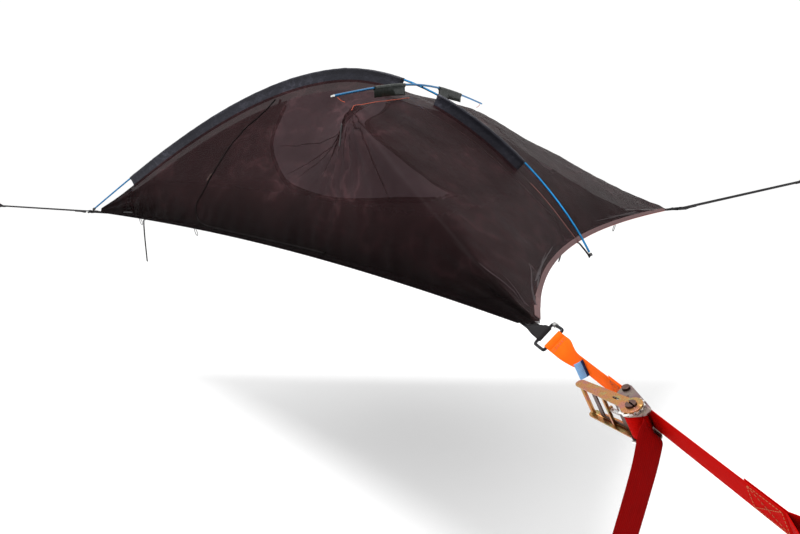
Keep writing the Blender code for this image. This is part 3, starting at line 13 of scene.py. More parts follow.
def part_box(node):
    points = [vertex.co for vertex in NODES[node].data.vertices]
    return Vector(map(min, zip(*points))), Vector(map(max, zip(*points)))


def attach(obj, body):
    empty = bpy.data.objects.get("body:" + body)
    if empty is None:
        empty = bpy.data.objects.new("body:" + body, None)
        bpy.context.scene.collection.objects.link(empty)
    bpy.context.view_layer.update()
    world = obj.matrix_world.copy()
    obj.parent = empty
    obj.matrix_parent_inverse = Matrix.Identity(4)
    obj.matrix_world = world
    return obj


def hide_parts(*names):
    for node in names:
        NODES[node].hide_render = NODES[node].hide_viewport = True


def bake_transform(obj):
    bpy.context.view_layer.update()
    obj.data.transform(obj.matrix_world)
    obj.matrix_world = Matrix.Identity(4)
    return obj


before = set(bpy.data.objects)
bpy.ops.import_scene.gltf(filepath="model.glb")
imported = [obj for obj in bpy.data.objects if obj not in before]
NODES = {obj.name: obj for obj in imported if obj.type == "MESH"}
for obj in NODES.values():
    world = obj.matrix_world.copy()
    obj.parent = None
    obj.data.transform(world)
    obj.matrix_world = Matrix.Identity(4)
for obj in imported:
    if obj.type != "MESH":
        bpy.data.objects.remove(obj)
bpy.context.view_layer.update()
ROOT = "tent"

# Plan, as in the part
LENGTH = 3.20
HEAD_WIDTH = 2.68
SIDE_SAG = 0.15
HEAD_SAG = 0.23
CLEARANCE = 0.0004
HEM_WIDTH = 0.025
GATHER = (0.111, 0.67, 0.578)
UP = np.array([0.0, 0.0, 1.0])
FOOT = np.array([-2 * LENGTH / 3, 0.0, 0.0])
HEAD_NEAR = np.array([LENGTH / 3, -HEAD_WIDTH / 2, 0.0])
HEAD_FAR = np.array([LENGTH / 3, HEAD_WIDTH / 2, 0.0])
SIDES = {"near": -1, "far": 1}

# Straps, as in the part
WEBBING_WIDTH = 0.050
WEBBING_THICKNESS = 0.0020
LAYER = WEBBING_THICKNESS / 2 + CLEARANCE
LOOP_WIDTH = 0.042
LINK_INNER_BAR = 0.016
LINK_OUTER_BAR = 0.072
BAR_WRAP = 0.004 + LAYER
BOLT_WRAP = 0.006 + LAYER
EYE_RADIUS = 0.022
STRAP_EASE = 0.030
STRAP_SEWN = 0.085
SHORT_STRAP_SEWN = 0.050
SHORT_STRAP_EASE = 0.025
FOOT_STRAP_REACH = 1.00
FAR_STRAP_REACH = 1.14
FAR_STRAP_RISE = 0.11
LONG_STRAP_REACH = 0.90
NEAR_STRAP_DROP = 0.022
NEAR_LINK_TWIST = math.radians(-45)
RATCHET_TILT = math.radians(26)
RATCHET_TWIST = -(math.pi / 2 + RATCHET_TILT)
TWIST_START = 0.095
TWIST_END = 0.235
SPOOL_FROM_CORNER = 0.495
FRAME_LENGTH = 0.062
SPOOL_RADIUS = 0.0100
RUN_GAP = 0.0004
WOUND_BEND = 0.004
WOUND_PITCH = 0.0026
WOUND_STEPS = 60
TAIL_ROUTE = (
    *((0.003, 0.0255, 0.0, 0.0), (0.003, 0.038, 0.001, 0.001), (0.0, 0.051, 0.008, 0.016)),
    *((0.0, 0.055, 0.017, 0.056), (0.0, 0.055, 0.033, 0.126), (0.0, 0.055, 0.055, 0.216)),
    (0.0, 0.055, 0.077, 0.310),
)
TAIL_TWIST_SHARE = 0.42
LABEL_WIDTH = 0.040
LABEL_REACH = 0.022
LABEL_FROM_BOLT = 0.184
LABEL_THICKNESS = 0.0012
LABEL_STEPS = 11
LABEL_BULGE = 0.0015
SHADE_RIM_STEPS = 4
SHADE_RIM_OVERLAP = 0.0006
SHADE_RIM_THICKNESS = 0.0018
STRAP_STEP = 0.012
SHORT_STRAP_STEP = 0.006
LONG_STRAP_INSIDE = 0.004
LOOP_LONG_END = -0.150
LOOP_SHORT_END = -0.046
LOOP_MOUTH = -0.020
LOOP_TURN_AT = -0.045
LOOP_TURN_REACH = 0.05
LOOP_SEAMS = ((-0.140, -0.100), (-0.090, -0.050))
TAIL_STEPS = 72
TAB_WIDTH = 0.022
HANGING_AT = 0.17
HANGING_WIDTH = 0.014
TIE_DIAMETER = 0.003
STITCH_PITCH = 0.0040 + 0.0022
HEM_STITCH_PITCH = 0.006 + 0.004
STITCH_WIDTH = 0.0009
STITCH_HEIGHT = 0.0005
STITCH_EDGE = 0.005
STITCH_END = 0.008
STITCH_SINK = 0.0002
STITCH_TOP = 0.75
STITCH_SHARES = np.array([0.2, 0.8])

# Cloth, as the photograph shows it
SHEET_TURN = 0.55
OUTWARD_FROM = 0.3
SHELL_LEVELS = 3
INNER_LEVELS = 3
SHELL_END_AT = -1.81
CREASE_REACH = 0.16
CREASE_PASSES = 40
FOLD_HEIGHT = 0.0050
FOLD_ENDS = (
    *((-0.55, 0.23, 0.41), (-0.39, 0.39, 0.29), (-0.28, 0.45, 0.28), (-0.08, 0.58, 0.29)),
    *((-0.05, 0.53, 0.41), (0.45, 0.92, 0.215), (0.37, 0.80, 0.415)),
)
CORNER_FOLDS = (
    ((1.005, 1.150, 0.020), (0.869, 0.803, 0.061)),
    ((0.955, 0.985, 0.022), (0.845, 0.520, 0.045)),
    ((0.932, 0.955, 0.029), (0.831, 0.376, 0.043)),
    ((0.997, 1.198, 0.018), (0.889, 1.116, 0.082)),
    ((0.966, 1.196, 0.036), (0.820, 1.132, 0.117)),
)
PLEAT_STEPS = 40
PLEAT_WIDTH = 0.009
PLEAT_HEIGHT = 0.003
GATHER_FAN = (7, 0.62, 0.95)
HEAD_FAN = (9, 0.85, 0.75)
FOOT_FAN = (6, 0.9, 0.5)
CORNER_PUCKER = 0.0045
HEM_PUCKER = 0.0022
RIPPLE_TOP = 0.20
RIPPLE_PITCH = 0.11
RIPPLE_LEAN = 14
CRUMPLE = 0.0050
FINE_CRUMPLE = 0.0016
INNER_WAVE = 0.006
INNER_FADE = 0.08
FLOOR_ROWS = 64
FLOOR_COLUMNS = 48
FLOOR_FOOT = 0.036
FLOOR_SAG = 0.012
FLOOR_LAP = 0.012
CORNER_SEARCH = 0.06
TAPE_THICKNESS = 0.0010
DOOR_ZIP_WIDTH = 0.011
INNER_ZIP_WIDTH = 0.022
COIL_WIDTH = 0.0045
COIL_THICKNESS = 0.0018
COIL_LIFT = 0.0006
INNER_ZIP_ARC = (
    *((-0.64, 0.60), (-0.65, 0.44), (-0.55, 0.325), (-0.39, 0.243)),
    *((-0.11, 0.21), (0.17, 0.221), (0.39, 0.242), (0.54, 0.25)),
)
INNER_DOOR_TOP = ((-0.32, 0.77), (-0.32, 0.90), (-0.64, 0.90))
INNER_ZIP_SIDE = ((-0.03, 0.60), (0.26, 0.43), (0.54, 0.25))
INNER_BASE_TOP = 0.205
HEM_LOOPS = {"near": (0.15, 0.328), "head": (0.143, 0.40, 0.73), "far": (0.67, 0.85)}
HEM_CORD = 0.003
HEM_LOOP_HALF = ((-0.012, 0.0), (-0.008, -0.004), (-0.012, -0.016), (-0.009, -0.030), (0.0, -0.036))
PIPING = 0.0025
HEAD_BAND_WIDTH = 0.020
HEAD_BAND_FROM = 0.035
HEAD_BAND_RISE = 0.35
RIDGE_HALF = 0.006
HEM_STITCH_INSET = 0.004
FIN_LAP = 0.016
FIN_START = 0.010
FIN_DEPTH = 0.045
SEAM_INSIDE = 0.15
FRONT_SLEEVE_HEAD = 0.62
TOGGLE_RADIUS = 0.0035
TOGGLE_SIDES = 16
TOGGLE_HALF = ((-1.0, 0.0), (-0.99, 0.55), (-0.93, 0.85), (-0.80, 1.0), (-0.30, 0.95), (-0.12, 0.70))
SLEEVE_CUT = 0.03
SLEEVE_PUCKER = 0.0010
FINE_SLEEVE_PUCKER = 0.0006
SLIDER_CLEAR = 0.03
SLIDER_FADE = 0.08
RELIEF_EDGE = 0.05
WELD_REACH = 1e-5
CUP_RADIUS = 0.0075
TIP_PITCH = math.radians(61.5)
EDGE_ROUND = 0.0004
ROUNDED = ("ratchet_frame", "ratchet_handle", "strap_bolt", "strap_bolt_nut", "handle_pawl", "lock_pawl")

# Camera and light
CAMERA_PLACE = Vector((1.52208, -2.95729, 0.50124))
CAMERA_RIGHT = Vector((0.88813, 0.45936, -0.01464))
CAMERA_FORWARD = Vector((-0.45277, 0.86904, -0.19944))
CAMERA_LENS = 31.5
SENSOR_WIDTH = 36.0
FLOOR_HEIGHT = -1.10
FLOOR_HALF = 60.0
FLOOR_TONES = ((0.95, 0.95, 0.95), (0.97, 0.97, 0.97))
WORLD_STRENGTH = 1.05
LIGHTS = (
    ("key", (-0.6, -1.2, 4.2), (-0.3, 0.0, 0.2), 2.2, 240.0),
    ("front", (2.6, -3.6, 2.2), (0.6, -0.9, 0.1), 1.6, 25.0),
)


def unit(vector):
    return vector / np.linalg.norm(vector)


def smooth_step(value):
    value = np.clip(value, 0.0, 1.0)
    return value * value * (3 - 2 * value)


def mirrored(place, side):
    """A place given on the +Y half, put on the half of a side."""
    return np.array(place) * (1, side, 1)


def link(made):
    bpy.context.scene.collection.objects.link(made)
    return made


# Materials

class Finish:
    """A procedural material round one principled shader."""

    def __init__(self, name, gloss=0.5, **sockets):
        self.data = bpy.data.materials.new(name + "_look")
        self.data.use_nodes = True
        self.tree = self.data.node_tree
        self.shader = self.tree.nodes["Principled BSDF"]
        self.shader.inputs["Specular IOR Level"].default_value = gloss
        for key, value in sockets.items():
            self.shader.inputs[key.title()].default_value = value

    def node(self, kind, output=0, settings=None, **inputs):
        """A node with its inputs set or linked; inputs are named or given as in0, in1 and so on."""
        made = self.tree.nodes.new(kind)
        for key, value in (settings or {}).items():
            setattr(made, key, value)
        for key, value in inputs.items():
            slot = made.inputs[int(key[2:])] if key[:2] == "in" and key[2:].isdigit() else made.inputs[key]
            if isinstance(value, bpy.types.NodeSocket):
                self.tree.links.new(value, slot)
            else:
                slot.default_value = value
        return made.outputs[output]

    def place(self, kind="Object"):
        return self.node("ShaderNodeTexCoord", output=kind)

    def scaled(self, vector, scale):
        return self.node("ShaderNodeMapping", Vector=vector, Scale=scale)

    def noise(self, vector, scale, detail=4.0, roughness=0.55):
        return self.node("ShaderNodeTexNoise", Vector=vector, Scale=scale, Detail=detail, Roughness=roughness)

    def math(self, operation, first, second=0.0):
        return self.node("ShaderNodeMath", settings={"operation": operation}, in0=first, in1=second)

    def part_of(self, vector, axis):
        return self.node("ShaderNodeSeparateXYZ", output=axis, Vector=vector)

    def ripple(self, value, pitch):
        """A sine of a distance, from 0 to 1 over each pitch."""
        turned = self.math("SINE", self.math("MULTIPLY", value, 2 * math.pi / pitch))
        return self.math("ADD", self.math("MULTIPLY", turned, 0.5), 0.5)

    def ramp(self, value, stops):
        made = self.tree.nodes.new("ShaderNodeValToRGB")
        elements = made.color_ramp.elements
        for k, (at, colour) in enumerate(stops):
            element = elements[k] if k < 2 else elements.new(at)
            element.position = at
            element.color = (*colour, 1.0)
        self.tree.links.new(value, made.inputs["Fac"])
        return made.outputs["Color"]

    def span(self, value, low, high, start=0.0, end=1.0):
        """A value between start and end moved to the range from low to high."""
        limits = {"From Min": start, "From Max": end, "To Min": low, "To Max": high}
        return self.node("ShaderNodeMapRange", Value=value, **limits)

    def dimmed(self, colour, factor):
        return self.node("ShaderNodeVectorMath", settings={"operation": "SCALE"}, in0=colour, Scale=factor)

    def dressed(self, tone, roughness=None, *bumps):
        """The material with its colour, roughness and bumps, each bump as (height, strength, distance)."""
        normal = None
        for height, strength, distance in bumps:
            inputs = {"Height": height, "Strength": strength, "Distance": distance}
            if normal is not None:
                inputs["Normal"] = normal
            normal = self.node("ShaderNodeBump", **inputs)
        for name, socket in (("Base Color", tone), ("Roughness", roughness), ("Normal", normal)):
            if socket is not None:
                self.tree.links.new(socket, self.shader.inputs[name])
        return self.data


def shade(colour, factor):
    return tuple(c * factor for c in colour)


def cloth_finish(name, colour, weave, crumple, roughness, fade=None, highlit_creases=None, bump=0.35, **sockets):
    """Woven cloth with a ripstop grid, crumples and clouds; its colour may carry painted shade low down and
    painted highlights along each crease.
    """
    finish = Finish(name, **sockets)
    place = finish.place()
    patches = finish.noise(place, 3.5, 6.0, 0.6)
    fine = finish.noise(place, crumple, 8.0, 0.62)
    x = finish.part_of(place, 0)
    across = finish.math("ADD", finish.part_of(place, 1), finish.part_of(place, 2))
    grid = finish.math("MULTIPLY", finish.ripple(x, weave), finish.ripple(across, weave))
    tone = finish.ramp(patches, [(0.30, shade(colour, 0.72)), (0.70, shade(colour, 1.25))])
    # Painted shade: the colour darkens towards the bottom, down to a share of itself, except on faces turned
    # towards the head.
    if fade:
        low, high, share = fade
        ahead = finish.part_of(finish.node("ShaderNodeNewGeometry", output="Normal"), 0)
        shade_by_height = finish.span(finish.part_of(place, 2), share, 1.0, low, high)
        shade_by_turn = finish.span(ahead, 0.0, 1.0, 0.0, 0.5)
        tone = finish.dimmed(tone, finish.math("MAXIMUM", shade_by_height, shade_by_turn))
    # Painted highlights: thin bright streaks in the colour, where the cloudy patches allow, stand in for
    # light on crease ridges.
    if highlit_creases:
        waves = finish.noise(finish.scaled(place, (1.0, 1.0, 1.5)), highlit_creases, 2.0, 0.5)
        away = finish.math("ABSOLUTE", finish.math("SUBTRACT", finish.math("MULTIPLY", waves, 2.0), 1.0))
        lines = finish.math("POWER", finish.math("SUBTRACT", 1.0, away), 22.0)
        shown = finish.math("MULTIPLY", lines, finish.span(patches, 0.0, 1.0, 0.42, 0.62))
        tone = finish.dimmed(tone, finish.span(shown, 0.92, 2.1))
    rough = finish.span(fine, roughness - 0.10, roughness + 0.14)
    return finish.dressed(tone, rough, (fine, bump, 0.004), (grid, 0.10, 0.0006))


def webbing_finish(name, colour, edge=0.7):
    """Flat woven webbing: ribs along it, a twill across them and darker worn patches."""
    finish = Finish(name, gloss=0.02)
    place = finish.place("UV")
    along = finish.part_of(place, 0)
    across = finish.part_of(place, 1)
    ribs = finish.ripple(across, 0.0036)
    twill = finish.ripple(finish.math("ADD", along, finish.math("MULTIPLY", across, 0.8)), 0.0028)
    weave = finish.math("ADD", finish.math("MULTIPLY", ribs, 0.6), finish.math("MULTIPLY", twill, 0.4))
    wear = finish.noise(finish.scaled(place, (30.0, 120.0, 1.0)), 1.0, 5.0, 0.6)
    tone = finish.math("ADD", finish.math("MULTIPLY", weave, 0.45), finish.math("MULTIPLY", wear, 0.55))
    stops = [(0.18, shade(colour, edge)), (0.50, colour), (0.85, shade(colour, 1.22))]
    rough = finish.span(wear, 0.62, 0.92)
    return finish.dressed(finish.ramp(tone, stops), rough, (wear, 0.15, 0.002), (weave, 0.55, 0.0007))


def metal_finish(name, colour, roughness, patch=None, tint=None, grain=0.12):
    """Plated metal with cloudy plating from a tint to a patch colour, a rolled grain and small scuffs."""
    finish = Finish(name, metallic=1.0)
    place = finish.place()
    clouds = finish.noise(place, 55.0, 5.0, 0.6)
    scuffs = finish.noise(finish.scaled(place, (900.0, 160.0, 160.0)), 1.0, 3.0, 0.6)
    stops = [(0.34, tint or shade(colour, 0.78)), (0.50, colour), (0.66, patch or shade(colour, 1.12))]
    rough = finish.span(scuffs, roughness - 0.10, roughness + 0.16)
    return finish.dressed(finish.ramp(clouds, stops), rough, (clouds, 0.06, 0.001), (scuffs, grain, 0.0002))


def plain_finish(name, colour, roughness, scale=400.0, bump=0.15, **sockets):
    """Moulded plastic, rubber, cord or thread with a fine even grain."""
    finish = Finish(name, **sockets)
    place = finish.place()
    grain = finish.noise(place, scale, 3.0, 0.5)
    clouds = finish.noise(place, 30.0, 4.0, 0.5)
    tone = finish.ramp(clouds, [(0.3, shade(colour, 0.8)), (0.7, shade(colour, 1.2))])
    rough = finish.span(grain, roughness - 0.08, roughness + 0.12)
    return finish.dressed(tone, rough, (grain, bump, 0.0005))


SHELL_TONE = (0.0165, 0.0075, 0.0082)
# The shell's colour carries painted shade low down and painted highlight streaks on crease ridges.
SHELL_LOOK = {"gloss": 0.01, "fade": (0.03, 0.24, 0.16), "highlit_creases": 7.0}
SHELL_CLOTH = cloth_finish("shell_cloth", SHELL_TONE, 0.006, 22.0, 0.42, alpha=0.82, **SHELL_LOOK)
SHELL_END = cloth_finish("shell_end", SHELL_TONE, 0.006, 22.0, 0.42, **SHELL_LOOK)
# The fold strips are drawn lighter than the shell: a painted highlight.
FOLD_HIGHLIGHT = cloth_finish("fold_highlight", (0.025, 0.016, 0.018), 0.006, 22.0, 0.45, gloss=0.06)
INNER_CLOTH = cloth_finish("inner_cloth", (0.030, 0.020, 0.022), 0.003, 30.0, 0.70, alpha=0.80)
# The inner door's pale colour is painted light: it stands in for light coming through the door.
INNER_DOOR_PAINTED_LIGHT = cloth_finish("inner_door_painted_light", (0.40, 0.30, 0.34), 0.003, 30.0, 0.70, alpha=0.80)
INNER_BASE = cloth_finish("inner_base", (0.008, 0.006, 0.006), 0.004, 26.0, 0.60, gloss=0.2)
FLOOR_CLOTH = cloth_finish("floor_cloth", (0.016, 0.015, 0.016), 0.005, 16.0, 0.60, gloss=0.1)
# The rear sleeve's colour carries painted highlight streaks for its glossy blotches.
SLEEVE_LOOK = {"gloss": 0.10, "bump": 1.0, "highlit_creases": 16.0}
SLEEVE_BLACK = cloth_finish("rear_sleeve", (0.020, 0.020, 0.026), 0.004, 45.0, 0.24, **SLEEVE_LOOK)
SLEEVE_GREEN = cloth_finish("spreader_sleeve", (0.010, 0.014, 0.011), 0.004, 40.0, 0.38, gloss=0.2, bump=0.6)
BLACK_WEBBING = webbing_finish("black_webbing", (0.018, 0.017, 0.018), 0.6)
HEAD_WEBBING = webbing_finish("head_webbing", (0.105, 0.045, 0.035))
HEAD_BAND = webbing_finish("head_band", (0.125, 0.078, 0.078))
ORANGE_WEBBING = webbing_finish("orange_webbing", (0.80, 0.105, 0.006))
RED_WEBBING = webbing_finish("red_webbing", (0.40, 0.002, 0.001))
RED_SHADED = webbing_finish("red_tail", (0.17, 0.0015, 0.0015))
LABEL_CLOTH = webbing_finish("label", (0.17, 0.36, 0.62))
# Navy for the strip laid over the label's fold against the strap: painted shade.
LABEL_SHADE = webbing_finish("label_shade", (0.02, 0.035, 0.10))
ZIP_TAPE = webbing_finish("zip_tape", (0.003, 0.002, 0.002))
ZIP_COIL = plain_finish("zip_coil", (0.003, 0.002, 0.002), 0.45, gloss=0.03)
POLE_BLUE = metal_finish("pole", (0.015, 0.16, 0.36), 0.26, grain=0.05)
SILVER = metal_finish("bright_plating", (0.72, 0.72, 0.70), 0.24)
GOLD_TINTS = {"patch": (0.27, 0.23, 0.10), "tint": (0.35, 0.14, 0.11)}
GOLD_ZINC = metal_finish("yellow_zinc", (0.38, 0.17, 0.055), 0.27, **GOLD_TINTS)
MAUVE_TINTS = {"patch": (0.20, 0.165, 0.13), "tint": (0.15, 0.09, 0.095)}
MAUVE_ZINC = metal_finish("mauve_zinc", (0.18, 0.125, 0.12), 0.28, **MAUVE_TINTS)
DARK_STEEL = metal_finish("dark_steel", (0.085, 0.050, 0.042), 0.38)
BLACK_STEEL = metal_finish("black_link", (0.020, 0.020, 0.022), 0.36)
CUP_RUBBER = plain_finish("cup", (0.015, 0.015, 0.016), 0.55)
TOGGLE_PLASTIC = plain_finish("toggle", (0.014, 0.013, 0.014), 0.36)
CORD_WARM = plain_finish("cord", (0.42, 0.07, 0.03), 0.75, 700.0, 0.5)
PIPING_DARK = plain_finish("piping", (0.11, 0.030, 0.024), 0.7, 700.0, 0.4)
CORD_BLACK = plain_finish("hem_cord", (0.018, 0.017, 0.018), 0.75, 700.0, 0.5)
THREAD_DARK = plain_finish("dark_thread", (0.050, 0.045, 0.045), 0.7)
THREAD_WARM = plain_finish("warm_thread", (0.45, 0.10, 0.03), 0.7)


# Pieces

def piece(name, mesh, material, body=ROOT, slot=None, smooth=True, node=None):
    """A mesh as a shown piece, riding on a body and standing for a node where these are given."""
    made = link(bpy.data.objects.new(name, mesh))
    mesh.materials.clear()
    mesh.materials.append(material)
    mesh.shade_smooth() if smooth else mesh.shade_flat()
    if body:
        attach(made, body)
    if node:
        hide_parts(node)
    return made


def body_of(mesh):
    body = bmesh.new()
    body.from_mesh(mesh)
    return body


def poured(body, mesh):
    """Mesh data that takes its shape from a bmesh, which is freed."""
    body.to_mesh(mesh)
    body.free()
    return mesh


def mesh_of(name, body):
    """A bmesh as mesh data, with its faces turned outwards."""
    bmesh.ops.recalc_face_normals(body, faces=body.faces)
    return poured(body, bpy.data.meshes.new(name))


def distances(line):
    """How far along a line each of its points lies."""
    return np.r_[0, np.cumsum(np.linalg.norm(np.diff(line, axis=0), axis=1))]


def skin(body, rows, closed=True):
    """Quads between rows of corners, each with its row and column."""
    made = []
    for k, (before, after) in enumerate(zip(rows, rows[1:])):
        count = len(before)
        for m in range(count if closed else count - 1):
            n = (m + 1) % count
            made.append((body.faces.new((before[m], before[n], after[n], after[m])), k, m))
    return made


def strip(centres, normals, across, width, thickness):
    """Webbing with rounded edges, as a bmesh; UV is the distance along and across it in metres."""
    half = width / 2
    low = thickness / 2
    outline = [(half, 0.0), (half - low * 0.3, low * 0.7), (half - low, low), (half / 2, low), (0.0, low)]
    outline += [(-w, n) for w, n in reversed(outline[:-1])]
    outline += [(-w, -n) for w, n in outline[1:-1]]
    along = distances(centres)
    body = bmesh.new()
    uv = body.loops.layers.uv.new("weave")
    rings = []
    for centre, normal, wide in zip(centres, normals, across):
        rings.append([body.verts.new(centre + wide * w + normal * n) for w, n in outline])
    for face, k, m in skin(body, rings):
        n = (m + 1) % len(outline)
        for loop, (a, b) in zip(face.loops, ((k, m), (k, n), (k + 1, n), (k + 1, m))):
            loop[uv].uv = (along[a], outline[b][0])
    for k in (0, -1):
        face = body.faces.new(rings[k])
        for loop, (w, n) in zip(face.loops, outline):
            loop[uv].uv = (along[k] + n, w)
    return body


def webbing(name, run, width, material, slot, thickness=WEBBING_THICKNESS, **said):
    """A piece of webbing or tape along a run of centres, normals and width directions."""
    return piece(name, mesh_of(name, strip(*run, width, thickness)), material, slot=slot, **said)


def capsule(body, start, end, normal):
    """One stitch, as a flat-bottomed dash standing a little proud of the cloth."""
    along = unit(end - start)
    side = np.cross(normal, along) * STITCH_WIDTH / 2
    rise = normal * STITCH_HEIGHT
    nose = along * STITCH_WIDTH / 2
    corners = [start - nose, start + side, end + side, end + nose, end - side, start - side]
    base = [body.verts.new(c - normal * STITCH_SINK) for c in corners]
    middle = (start + end) / 2
    top = [body.verts.new(middle + (c - middle) * STITCH_TOP + rise) for c in corners]
    body.faces.new(top)
    skin(body, (base, top))


def stitch_row(body, line, normals, pitch=STITCH_PITCH):
    """Stitches along a line of points."""
    line = np.array(line)
    along = distances(line)
    count = int(along[-1] / pitch)
    for k in range(count):
        ends = along[-1] / count * (k + STITCH_SHARES)
        places = [np.array([np.interp(e, along, line[:, axis]) for axis in range(3)]) for e in ends]
        normal = np.array(normals[min(int(np.searchsorted(along, ends[0])), len(normals) - 1)])
        capsule(body, *places, normal)


def arc(centre, radius, start, end, steps):
    angles = np.linspace(start, end, steps + 1)
    return [(centre[0] + radius * math.cos(a), centre[1] + radius * math.sin(a)) for a in angles]


def through(points, steps):
    """A smooth curve through points."""
    points = np.array(points, float)
    padded = np.vstack([2 * points[0] - points[1], points, 2 * points[-1] - points[-2]])
    spans = len(points) - 1
    curve = []
    for step in range(steps + 1):
        at = min(step / steps * spans, spans - 1e-9)
        k = int(at)
        t = at - k
        p0, p1, p2, p3 = padded[k : k + 4]
        bend = (2 * p0 - 5 * p1 + 4 * p2 - p3) * t**2 + (3 * p1 - p0 - 3 * p2 + p3) * t**3
        curve.append(0.5 * (2 * p1 + (p2 - p0) * t + bend))
    return np.array(curve)


def tube(name, route, diameter, material, node=None):
    """A round cord or wire along a route, as a curve."""
    data = bpy.data.curves.new(name, "CURVE")
    data.dimensions = "3D"
    data.bevel_depth = diameter / 2
    data.bevel_resolution = 3
    data.use_fill_caps = True
    spline = data.splines.new("POLY")
    spline.points.add(len(route) - 1)
    for point, place in zip(spline.points, route):
        point.co = (*place, 1.0)
    data.materials.append(material)
    made = link(bpy.data.objects.new(name, data))
    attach(made, ROOT)
    if node:
        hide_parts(node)
    return made


# Straps and loops

class Corner:
    """A corner's pulling direction, with the axes that a strap there bends and lies along."""

    def __init__(self, place, drop=0.0):
        self.place = place
        self.along = unit(unit(place * (1, 1, 0)) - UP * drop)
        self.across = unit(np.cross(UP, self.along))
        self.normal = np.cross(self.along, self.across)

    def turned(self, angle):
        bend = math.cos(angle) * self.normal + math.sin(angle) * self.across
        width = -math.sin(angle) * self.normal + math.cos(angle) * self.across
        return bend, width

    def at(self, distance):
        return self.place + self.along * distance

    def lay(self, profile, twist):
        """Centres, normals and width directions along a profile of (distance, offset) points."""
        profile = np.array(profile)
        centres = []
        normals = []
        across = []
        for (distance, offset), (ds, dn) in zip(profile, np.gradient(profile, axis=0)):
            bend, wide = self.turned(twist(distance))
            centres.append(self.at(distance) + bend * offset)
            normals.append(unit(bend * ds - self.along * dn))
            across.append(wide)
        return np.array(centres), np.array(normals), np.array(across)


def start_wrap(at, radius, sewn, ease=STRAP_EASE):
    """Webbing from its sewn end back to a bar, round it and out again."""
    points = [(s, -LAYER) for s in np.linspace(at + sewn, at + ease, 8)]
    points += arc((at, 0.0), radius, -math.pi / 2, -3 * math.pi / 2, 16)
    return points + [(at + ease, LAYER)]


def end_wrap(at, radius, sewn, ease=STRAP_EASE):
    points = start_wrap(0.0, radius, sewn + ease, ease)
    return [(at - s, n) for s, n in reversed(points)]


def untwisted(_):
    return 0.0


def near_twist(distance):
    share = float(smooth_step((distance - TWIST_START) / (TWIST_END - TWIST_START)))
    return NEAR_LINK_TWIST + (RATCHET_TWIST - NEAR_LINK_TWIST) * share


def sewn_box(body, corner, twist, start, end, width, offset):
    """A box of stitches with a cross in it, on both faces of a sewn end."""
    for face in (1, -1):
        edge = width / 2 - STITCH_EDGE
        marks = ((start, -edge), (end, -edge), (end, edge), (start, edge), (start, -edge))
        rows = [*zip(marks, marks[1:]), (marks[0], marks[2]), (marks[1], marks[3])]
        for (s0, w0), (s1, w1) in rows:
            line = []
            normals = []
            for share in np.linspace(0, 1, 12):
                s = s0 + (s1 - s0) * share
                bend, wide = corner.turned(twist(s))
                line.append(corner.at(s) + wide * (w0 + (w1 - w0) * share) + bend * face * offset)
                normals.append(bend * face)
            stitch_row(body, line, normals)


def strap(node, corner, twist, begin, middle, finish, look):
    """One taut strap: its sewn loop at the link, its single length and its sewn end, with stitches."""
    name = node + "_web"
    material, slot, thread = look
    for part, profile in (("loop", begin), ("end", finish)):
        if profile:
            run = corner.lay(profile, twist)
            webbing(f"{name}_{part}", run, WEBBING_WIDTH, material, slot)
    run = corner.lay(middle, twist)
    main = webbing(name, run, WEBBING_WIDTH, material, slot, node=node)
    seams = bmesh.new()
    for profile in (begin, finish):
        if profile:
            reach = [s for s, n in profile if n < 0 and abs(n + LAYER) < 1e-6]
            ends = (min(reach) + STITCH_END, max(reach) - STITCH_END)
            sewn_box(seams, corner, twist, *ends, WEBBING_WIDTH, 2 * LAYER)
    piece(name + "_stitches", mesh_of(name, seams), thread, smooth=False)


def spaced(start, end, step=STRAP_STEP):
    return [(s, LAYER) for s in np.linspace(start, end, max(3, int((end - start) / step)))]


CORNERS = {"foot": Corner(FOOT), "near": Corner(HEAD_NEAR), "far": Corner(HEAD_FAR)}
NEAR = Corner(HEAD_NEAR + UP * LINK_OUTER_BAR * NEAR_STRAP_DROP, NEAR_STRAP_DROP)
STRAPWARD = math.cos(RATCHET_TILT) * NEAR.across + math.sin(RATCHET_TILT) * NEAR.normal
SPOOL_AXIS = np.cross(STRAPWARD, NEAR.along)
BEND_REACH = math.hypot(SPOOL_RADIUS + RUN_GAP, WOUND_BEND)
WOUND_START = -math.atan2(WOUND_BEND, SPOOL_RADIUS + RUN_GAP)
WOUND_SWEEP = 3 * math.pi / 2 + WOUND_START + 2 * math.pi
WOUND_OUTER = BEND_REACH + WOUND_BEND + WOUND_PITCH * WOUND_SWEEP / (2 * math.pi) + WEBBING_THICKNESS / 2
STRAP_LINE = WOUND_OUTER + CLEARANCE + WEBBING_THICKNESS / 2 + LAYER
SPOOL_CENTRE = NEAR.at(SPOOL_FROM_CORNER) - STRAPWARD * STRAP_LINE


def on_ratchet(x, y, z):
    """A place given along the strap, along the spool and towards the strap."""
    return SPOOL_CENTRE + NEAR.along * x + SPOOL_AXIS * y + STRAPWARD * z


